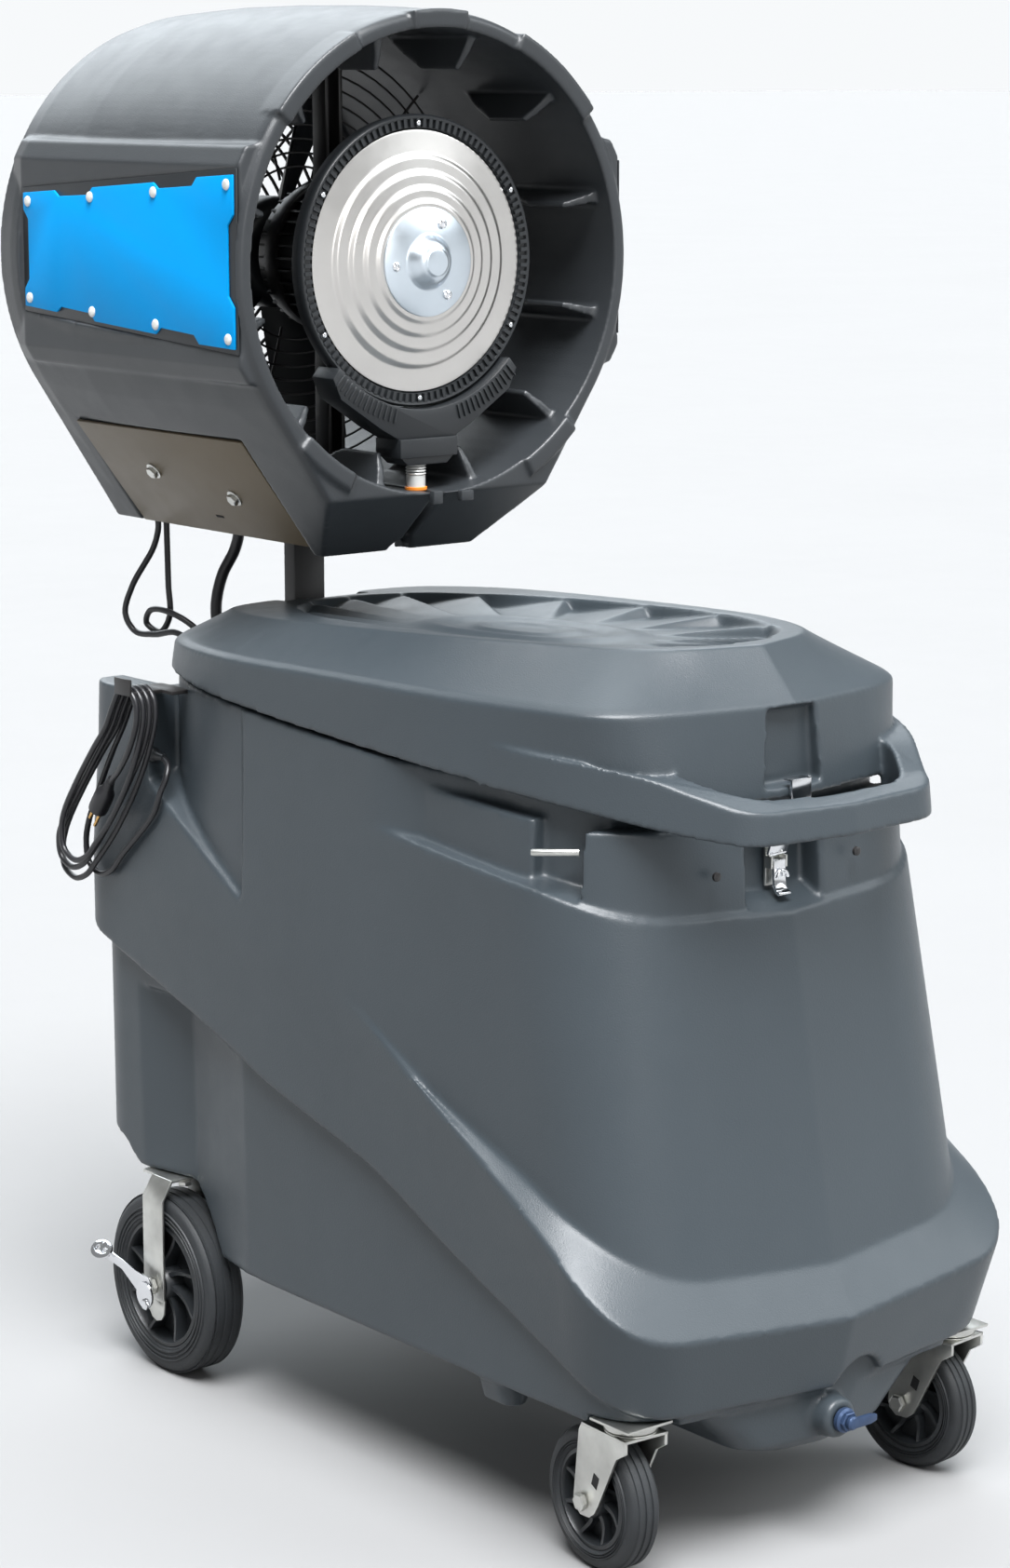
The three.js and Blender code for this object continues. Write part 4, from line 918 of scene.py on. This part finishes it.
# ---- Gutter, bracket and water fitting -----------------------------------------------------------
steps = 28
arc = [0.82 * (1 - 2 * i / steps) for i in range(steps + 1)]
crescent = [(154 * math.sin(a), HEAD_AXIS - 154 * math.cos(a)) for a in arc]
crescent += [(-122, HEAD_AXIS - 116), (-112, HEAD_AXIS - 138), (-60, HEAD_AXIS - 172),
    (-34, HEAD_AXIS - 186), (34, HEAD_AXIS - 186), (60, HEAD_AXIS - 172), (112, HEAD_AXIS - 138),
    (122, HEAD_AXIS - 116)]
gutter = Solid().prism("y", crescent, 176, 214)
for side in (-1, 1):
    for i in range(13):
        a = side * (0.26 + i * 0.042)
        turn = Matrix.Rotation(-a, 4, "Y")
        gutter.box((-0.9, 173.6, -172), (0.9, 177, -156), turn=turn, shift=HEAD_CENTRE)
gutter.box((-38, 172, HEAD_AXIS - 204), (38, 216, HEAD_AXIS - 184))
gutter.prism("y", [(-26, HEAD_AXIS - 212), (26, HEAD_AXIS - 212), (36, HEAD_AXIS - 203),
    (-36, HEAD_AXIS - 203)],
    175, 212)
finished(gutter.object("drip_gutter"), DARK, "head", ["gutter"], bevel=0.9)
FITTING = (-6, 188, HEAD_AXIS)
fitting = Solid().lathe("z", [(8, -237), (10.2, -236), (10.2, -224), (9, -223)], FITTING, 28)
for k in range(4):
    fitting.lathe("z", [(10.2, -223 + 3 * k), (11.2, -222.2 + 3 * k), (10.2, -221 + 3 * k)], FITTING, 28)
finished(fitting.object("hose_fitting"), WHITE, "head", ["water_fitting"], sharp=30)
collar = Solid().lathe("z", [(11, -240), (12, -239), (12, -236.4), (11, -236)], FITTING, 28)
finished(collar.object("fitting_seal"), ORANGE, "head")
boot = Solid().lathe("z", [(11.5, -212), (12.2, -211), (12.2, -206), (8, -204)], FITTING, 28)
finished(boot.object("fitting_boot"), DARK, "head")
clips = Solid().box((-16, 143.5, 962), (-4, 152.5, 976)).box((22, 144.5, 963), (38, 152.5, 974))
finished(clips.object("rim_clips"), HEAD, "head", bevel=1.2)

# ---- Rear guard, motor, strut, fan ---------------------------------------------------------------
GUARD_Y, INNER_GUARD_Y = 594, 405
guard = Solid()
for radius in range(20, 232, 15):
    guard.lathe("y", ellipse(8, 2.0, 2.0, (radius, GUARD_Y)), HEAD_CENTRE, 72, True)
for k in range(18):
    guard.rod("z", 1.8, 24 if k % 3 else 0.5, 231, (0, GUARD_Y + 3, 0), 8, **about_axis((k + 0.3) / 18))
finished(guard.object("wire_guard"), BLACK, "head", ["rear_guard"])
inner_guard = Solid()
for radius in range(94, 236, 15):
    inner_guard.lathe("y", ellipse(6, 1.3, 1.3, (radius, INNER_GUARD_Y)), HEAD_CENTRE, 72, True)
for k in range(12):
    inner_guard.rod("z", 1.6, 82, 238, (0, INNER_GUARD_Y + 2, 0), 8, **about_axis((k + 0.5) / 12))
finished(inner_guard.object("inner_guard"), BLACK, "head")
motor = Solid().lathe("y", [(10, 262), (46, 262), (50, 264), (66, 272), (72, 280), (72, 376), (66, 386),
    (50, 391), (46, 392), (10, 392)], HEAD_CENTRE, 64)
for k in range(36):
    motor.box((-1.2, 286, 70), (1.2, 370, 77), **about_axis(k / 36))
finished(motor.object("motor_body"), BLACK, "head", ["motor"])
strut = Solid()
for end in (-1, 1):
    for side in (-1, 1):
        low, high = sorted((HEAD_AXIS + end * 76, HEAD_AXIS + end * 238))
        strut.box((side * 9 - 2.5, 336, low), (side * 9 + 2.5, 360, high))
    strut.box((-11, 356, low), (11, 359.5, high))
strut.lathe("y", [(72.6, 339), (80, 339), (80, 357), (72.6, 357)], HEAD_CENTRE, 64, True)
finished(strut.object("motor_carrier"), BLACK, "head", ["motor_strut"], bevel=1.0)
BLADES, BLADE_HALF_THICKNESS, BLADE_CAMBER = 5, 1.6, 7
BLADE_ROOT, BLADE_SPAN = 54, 172
fan = Solid().lathe("y", [(0.01, 426), (48, 427), (58, 434), (61, 442), (61, 472), (0.01, 472)],
    HEAD_CENTRE, 48)
for k in range(BLADES):
    rings = []
    for f in np.linspace(0, 1, 9):
        radius, pitch = BLADE_ROOT + BLADE_SPAN * f, 0.85 - 0.45 * f
        chord = 22 + 14 * math.sin(math.pi * (0.2 + 0.6 * f))
        section = [(s * chord, BLADE_CAMBER * (1 - s * s) + face * BLADE_HALF_THICKNESS)
            for face in (1, -1) for s in np.linspace(-face, face, 9)]
        rings.append([(c * math.cos(pitch) - d * math.sin(pitch) + 10 * f,
            c * math.sin(pitch) + d * math.cos(pitch), radius) for c, d in section])
    turn = Matrix.Rotation(2 * math.pi * k / BLADES + 0.3, 4, "Y")
    fan.loft(rings, turn=turn, shift=(0, 452, HEAD_AXIS))
finished(fan.object("fan_wheel"), DARK, "rotor", ["fan"], sharp=50)

# ---- Mast, rear bay, pump, switch ----------------------------------------------------------------
mast = Solid().box((-21, 389, 566.5), (21, 409, 906)).object("mast_tube")
finished(mast, BLACK, "base", ["mast"], bevel=2.0)
foot = Solid().box((-48, 376, 560.3), (48, 427, 566)).object("mast_base")
finished(foot, BLACK, "base", ["mast_foot"], bevel=1.0)
bearing = Solid().lathe("z", [(16, 906.3), (17, 907), (17, 913), (16, 913.6)], (0, 399, 0), 48)
finished(bearing.object("pan_collar"), ZINC, "base", ["pan_bearing"])
control = Solid().box((-84, 436, 560.3), (84, 494, 716)).object("control_case")
finished(control, DARK, "base", ["control_box"], bevel=5.0, segments=4)
knob = Solid().lathe("y", [(16, 494.3), (16, 500), (15, 505), (13.5, 507.5), (0.01, 508)], (30, 0, 668), 36)
knob.box((27.6, 500, 655), (32.4, 510.5, 681))
finished(knob.object("knob_dial"), DARK, "switch_knob", ["switch_knob"], bevel=0.6)
lamp = Solid().lathe("y", [(6, 493.6), (6, 496), (4, 497.5), (0.01, 498)], (-34, 0, 668), 24)
finished(lamp.object("power_lamp"), ORANGE, "base")
pump = Solid().lathe("z", [(0.01, 160.3), (38, 160.3), (38, 166), (31, 170), (30, 228), (24, 236),
    (0.01, 238)],
    (0, 60, 0), 48)
finished(pump.object("pump_body"), DARK, "base", ["pump"])

# ---- Latch, pins, hook ---------------------------------------------------------------------------
LATCH_Y, LATCH_FACE = -369, -361
base = Solid().box((-10, LATCH_FACE - 3, 640), (10, LATCH_FACE - 0.3, 684))
for side in (-1, 1):
    base.box((side * 9.6 - 1.1, LATCH_FACE - 12, 658), (side * 9.6 + 1.1, LATCH_FACE - 2, 670))
base.lathe("y", [(4, LATCH_FACE - 3), (3.6, LATCH_FACE - 4.6), (0.01, LATCH_FACE - 5)], (0, 0, 680), 16)
finished(base.object("latch_plate"), ZINC, "base", ["latch_base"], bevel=0.6)
lever_line = [(-370, 666), (-370, 650), (-371.5, 640), (-375.5, 634), (-380, 632), (-382, 633.5),
    (-381.5, 635.5), (-378, 637), (-375, 642), (-373.6, 650), (-373.6, 666)]
lever = Solid().prism("x", lever_line, -7.5, 7.5)
loop = [(7.5 * math.cos(t), -377.5, 646 + 11 * math.sin(t)) for t in np.linspace(0.3, math.pi - 0.3, 16)]
lever.tube(loop, 1.7, 10)
lever.rod("x", 2.5, -10, 10, (0, LATCH_Y, 664), 16)
finished(lever.object("latch_pull"), CHROME, "latch_lever", ["latch_lever"], bevel=0.6)
hook_line = [(-370.5, 672), (-367.5, 672), (-380, 706), (-398.5, 727), (-398.5, 746.5), (-390, 746.5),
    (-390, 750), (-402.5, 750), (-402.5, 725.5), (-382.6, 704)]
hook = Solid().prism("x", hook_line, -12.5, 12.5).rod("x", 2, -11, 11, (0, LATCH_Y, 672), 16)
finished(hook.object("latch_catch"), CHROME, "latch_hook", ["latch_hook"], bevel=0.7)
for side, name in SIDES:
    turn = Matrix.Rotation(math.pi - 0.69 if side < 0 else 0.69, 4, "Z")
    pin = Solid().lathe("x", [(2.6, 2), (3.5, 2.8), (3.5, 46.5), (2.4, 48)], (0, 0, 0), 20, turn=turn,
        shift=(side * 204, -320, 692))
    finished(pin.object(f"wall_pin_{name}"), ZINC, "base", [f"side_pin_{name}"])
    plugs = Solid().lathe("y", [(4.5, -383), (4.5, -386), (3, -387)], (side * 92, 0, 664), 16)
    finished(plugs.object(f"wall_screw_{name}"), BLACK, "base")
hanger = Solid().box((-246, 300, 763), (-221, 355.5, 767)).box((-284, 319, 763), (-244, 349, 767))
hanger.box((-286, 319, 763), (-283, 349, 781))
finished(hanger.object("cord_hanger"), BLACK, "base", ["cord_hook"], bevel=0.8)

# ---- Drain valve ---------------------------------------------------------------------------------
valve = Solid().lathe("y", [(8.6, -458), (8.6, -472.2), (11.5, -472.4), (12.5, -474), (12.5, -478),
    (10, -480)],
    (0, 0, DRAIN_Z), 32)
valve.hexagon("y", 18, -484.3, -479, (0, 0, DRAIN_Z))
finished(valve.object("drain_body"), BLUE_METAL, "base", ["drain_valve"], sharp=30)
handle = Solid().lathe("y", [(5, -484.5), (7, -485), (7, -488.5), (5, -490)], (0, 0, DRAIN_Z), 20)
handle.prism("y", [(0, DRAIN_Z - 5), (22, DRAIN_Z - 5), (30, DRAIN_Z - 3), (30, DRAIN_Z + 3),
    (22, DRAIN_Z + 5), (0, DRAIN_Z + 5)], -490, -486.5)
finished(handle.object("drain_lever"), BLUE_METAL, "drain_handle", ["drain_handle"], bevel=0.8)


# ---- Casters -------------------------------------------------------------------------------------
def wheel_pieces(tag, radius, width, **place):
    """A grooved tyre on a moulded rim with curved spokes, about X."""
    half, seat = width / 2, radius * 0.70
    step = (radius - 12 - seat) / 4
    crown = [(seat, -half + 4), (seat + 2, -half + 1.6)]
    for k in range(3):
        ridge = seat + step * (k + 0.9)
        crown += [(ridge, -half + 1.6), (ridge + 0.8, -half), (ridge + step * 0.5, -half),
            (ridge + step * 0.5 + 0.8, -half + 1.6)]
    crown += [(radius - 8, -half + 1.6), (radius - 4, -half + 4), (radius - 1.2, -half + 9)]
    tread = []
    for centre in (-0.36, -0.12, 0.12, 0.36):
        x = centre * width * 0.9
        tread += [(radius, x - 1.8), (radius - 1.4, x - 1.1), (radius - 1.4, x + 1.1), (radius, x + 1.8)]
    line = crown + [p for p in tread if abs(p[1]) < half - 6] + [(r, -x) for r, x in crown[::-1]]
    tyre = Solid().lathe("x", line, (0, 0, 0), 96, True, **place)
    finished(tyre.object(f"{tag}_tread"), TYRE, tag, [tag.replace("wheel", "tyre")], sharp=35)
    rim = Solid()
    edge = seat - 0.3
    rim.lathe("x", [(edge, -half + 3), (edge, half - 3), (edge - 4, half - 2), (edge - 6, half - 6),
        (edge - 6, -half + 6), (edge - 4, -half + 2)], (0, 0, 0), 72, True, **place)
    rim.lathe("x", [(7, -half), (17, -half), (19, -half + 3), (19, half - 3), (17, half), (7, half)],
        (0, 0, 0), 48, True, **place)
    rim.lathe("x", [(17, -3), (edge - 4, -2), (edge - 4, 2), (17, 3)], (0, 0, 0), 48, True, **place)
    spokes = 8
    for k in range(spokes):
        base_angle = 2 * math.pi * k / spokes
        rings = []
        for i in range(7):
            f = i / 6
            r = 16 + (edge - 20) * f
            a = base_angle + 0.42 * math.sin(f * math.pi / 2)
            centre = Vector((0, r * math.cos(a), r * math.sin(a)))
            side = Vector((0, -math.sin(a), math.cos(a))) * (2.6 - 0.8 * f)
            deep = half - 4 - 4 * math.sin(math.pi * f)
            rings.append([tuple(centre + side + Vector((-deep, 0, 0))),
                tuple(centre - side + Vector((-deep, 0, 0))),
                tuple(centre - side + Vector((deep, 0, 0))), tuple(centre + side + Vector((deep, 0, 0)))])
        rim.loft(rings, **place)
    finished(rim.object(f"{tag}_rim"), DARK, tag, [tag.replace("wheel", "rim")], sharp=35)


REAR_WHEEL = {"x": 220, "y": 348, "radius": 101.5, "width": 50}
FRONT_WHEEL = {"x": 214, "y": -365, "radius": 72, "width": 38, "trail": 42}
FLAT_RATIO = math.cos(math.pi / 24)
REAR_SEAT, FRONT_SEAT = 221.7, 161.7


FORK_CLEARANCE, FORK_SHEET = 7, 3.5


def axle_with_nuts(half, nut, thick, **place):
    """A caster's axle with a hexagon nut on each end; nut is the radius to its corners."""
    axle = Solid().rod("x", 6, -half - 4, half + 4, (0, 0, 0), 20, **place)
    for end in (-1, 1):
        line = [(nut - 1, half), (nut, half + 0.8), (nut, half + thick), (nut - 2, half + thick + 1.2)]
        axle.lathe("x", [(r, end * a) for r, a in line], (0, 0, 0), 6, **place)
    return axle


def bent_leg(end, half, top, depth):
    """The line of a rear fork's leg, a depth inside its outer face."""
    outer = half - 0.5 - depth
    return [(end * outer, -16), (end * outer, top - 22), (end * (outer - 13.5), top)]


def rear_caster(side, name):
    """A fixed caster with its brake lever."""
    height = REAR_WHEEL["radius"] * FLAT_RATIO
    shift = (side * REAR_WHEEL["x"], REAR_WHEEL["y"], height)
    half = REAR_WHEEL["width"] / 2 + FORK_CLEARANCE
    wheel_pieces(f"rear_wheel_{name}", height, REAR_WHEEL["width"], shift=shift)
    top = REAR_SEAT - height
    fork = Solid()
    for end in (-1, 1):
        line = bent_leg(end, half, top, 0) + bent_leg(end, half, top, FORK_SHEET)[::-1]
        fork.prism("y", line, -19, 19, shift=shift)
        fork.prism("x", [(-20, -14), (12, -14), (10, -30), (5, -37), (-4, -40), (-13, -37), (-18, -30)],
            *outward(end, half - 4, half - 1), shift=shift)
    fork.box((16 - half, -19, top - FORK_SHEET), (half - 16, 40, top), shift=shift)
    finished(fork.object(f"rear_bracket_{name}"), ZINC, "base", [f"rear_fork_{name}"],
        bevel=1.0)
    axle = axle_with_nuts(half, 10, 5.4, shift=shift)
    for y in (-18, 44):
        axle.lathe("z", [(7, top - 8), (8, top - 7), (8, top - 3.6)], (0, y, 0), 6, shift=shift)
    finished(axle.object(f"rear_bolts_{name}"), ZINC, "base", [f"rear_axle_{name}"], sharp=30)
    lever_line = [(-9, -10), (-4, -14), (8, -14), (16, -8), (46, 9), (70, 13), (88, 17), (91, 21), (89, 26),
        (70, 23), (44, 20), (18, 14), (-6, 12), (-10, 6)]
    lever = Solid().prism("x", lever_line, *outward(side, half + 7.4, half + 10.4), shift=shift)
    lever.prism("x", ellipse(28, 15, 15, (-2, -8)), *outward(side, half + 11, half + 13.5), shift=shift)
    lever.lathe("x", [(6.5, -side * 2), (6.5, side * 2.4), (5, side * 3.4)],
        (side * (half + 13.5), -6, -17), 6,
        shift=shift)
    lean = Matrix.Rotation(-side * 0.75, 4, "Y")
    pedal_end = Vector((side * (half + 13), 82, 23)) + Vector(shift)
    pad = Solid().prism("x", ellipse(32, 18, 11), -1.4, 1.4, turn=lean, shift=pedal_end).object("pad")
    holes = [Solid().rod("x", 4, -5, 5, (0, y, 0), 20, turn=lean, shift=pedal_end) for y in (-7, 7)]
    lever = lever.object(f"brake_pedal_{name}")
    combined(lever, boolean(pad, holes, "DIFFERENCE"), "UNION")
    finished(lever, CHROME, f"brake_{name}", [f"brake_lever_{name}"], bevel=0.9)


def front_caster(side, name):
    """A swivelling caster, and the seat plate that stays with the tank."""
    height = FRONT_WHEEL["radius"] * FLAT_RATIO
    swivel = math.radians(-3.6 if side < 0 else 6)
    turn = Matrix.Rotation(swivel, 4, "Z")
    pivot = Vector((side * FRONT_WHEEL["x"], FRONT_WHEEL["y"] - FRONT_WHEEL["trail"], 0))
    shift = pivot + turn @ Vector((0, FRONT_WHEEL["trail"], height))
    place = {"turn": turn, "shift": shift}
    half = FRONT_WHEEL["width"] / 2 + FORK_CLEARANCE
    wheel_pieces(f"front_wheel_{name}", height, FRONT_WHEEL["width"], **place)
    top = FRONT_SEAT - 11 - height
    fork = Solid()
    leg = [(-10, -14), (4, -15), (13, -8), (15, 0), (7, top - 9), (2, top), (-66, top), (-66, top - 13),
        (-52, top - 22), (-24, 2), (-18, -8)]
    for end in (-1, 1):
        fork.prism("x", leg, *outward(end, half - 4, half - 4 + FORK_SHEET), **place)
    fork.box((-half, -66, top - 3), (half, 2, top), **place)
    fork.lathe("z", [(24, top), (26, top + 0.6), (26, top + 2)], (0, -FRONT_WHEEL["trail"], 0), 40, **place)
    finished(fork.object(f"front_bracket_{name}"), ZINC, f"front_swivel_{name}",
        [f"front_fork_{name}"], bevel=1.0)
    axle = axle_with_nuts(half, 9.4, 4.6, **place)
    finished(axle.object(f"front_bolts_{name}"), ZINC, f"front_swivel_{name}",
        [f"front_axle_{name}"], sharp=30)
    # Near-black patches on the fork legs: painted shade standing for the shadowed inside of the slots.
    slot_shades = Solid()
    for end in (-1, 1):
        slot_shades.prism("x", [(-26, 30), (-18, 34), (-14, 22), (-22, 18)],
            *outward(end, half - 0.6, half - 0.2), **place)
    finished(slot_shades.object(f"fork_slot_shade_{name}"), SLOT_SHADE, f"front_swivel_{name}")
    seat_plate = Solid().box((-28, -28, FRONT_SEAT - 3), (28, 28, FRONT_SEAT), shift=pivot)
    bearing_line = [(23, -8.6), (26, -8), (27, -5), (27, -2)]
    seat_plate.lathe("z", [(r, FRONT_SEAT + a) for r, a in bearing_line], (0, 0, 0), 40, shift=pivot)
    finished(seat_plate.object(f"swivel_plate_{name}"), ZINC, "base", [f"caster_plate_{name}"],
        bevel=0.8)


for side, name in SIDES:
    rear_caster(side, name)
    front_caster(side, name)

# ---- Material of the CAD's shaft, which stays -----------------------------------------------------
for slot_entry in frame["nodes"]["shaft"].material_slots:
    slot_entry.material = CHROME

# ---- Floor and light -----------------------------------------------------------------------------
floor_mesh = bpy.data.meshes.new("floor")
FLOOR = 150.0
floor_mesh.from_pydata([(-FLOOR, -FLOOR, 0), (FLOOR, -FLOOR, 0), (FLOOR, FLOOR, 0), (-FLOOR, FLOOR, 0)], [],
    [(0, 1, 2, 3)])
floor = bpy.data.objects.new("floor", floor_mesh)
floor_mesh.materials.append(surface("pale_floor", (0.222, 0.222, 0.222), 0.95, patch=0.01, patch_scale=1.0))
bpy.context.scene.collection.objects.link(floor)

world_data = bpy.data.worlds.new("studio")
bpy.context.scene.world = world_data
world_data.use_nodes = True
sky_nodes, sky_links = world_data.node_tree.nodes, world_data.node_tree.links
direction = sky_nodes.new("ShaderNodeTexCoord")
split = sky_nodes.new("ShaderNodeSeparateXYZ")
horizon = sky_nodes.new("ShaderNodeValToRGB")
for element, position, level in zip(horizon.color_ramp.elements, (0.05, 0.14), (0.965, 0.27)):
    element.position = position
    element.color = (level * 0.965, level * 0.985, level, 1.0)
sky_links.new(direction.outputs["Generated"], split.inputs["Vector"])
sky_links.new(split.outputs["Z"], horizon.inputs["Fac"])
sky_links.new(horizon.outputs["Color"], sky_nodes["Background"].inputs["Color"])


def aimed(data, place, target):
    light = bpy.data.objects.new(data.name, data)
    light.location = place
    light.rotation_euler = (Vector(target) - Vector(place)).to_track_quat("-Z", "Y").to_euler()
    bpy.context.scene.collection.objects.link(light)


def area_light(name, place, target, size, power):
    data = bpy.data.lights.new(name, "AREA")
    data.shape = "RECTANGLE"
    data.size, data.size_y = size
    data.energy = power
    aimed(data, place, target)


def soft_sun(name, place, strength, spread, color):
    data = bpy.data.lights.new(name, "SUN")
    data.energy = strength
    data.angle = math.radians(spread)
    data.color = color
    aimed(data, place, (0, 0, 0))


soft_sun("sky_front", (-0.8, -1.2, 3.3), 9.4, 40, (0.97, 0.98, 1.0))
soft_sun("sky_back", (1.0, 2.6, 2.6), 2.9, 60, (0.88, 0.95, 1.0))
area_light("front", (-1.0, -4.4, 2.6), (0, 0, 0.9), (1.6, 2.0), 40)
soft_sun("sky_side", (1.9, -1.7, 1.9), 1.7, 45, (0.93, 0.97, 1.0))

bpy.context.scene.view_settings.view_transform = "Standard"
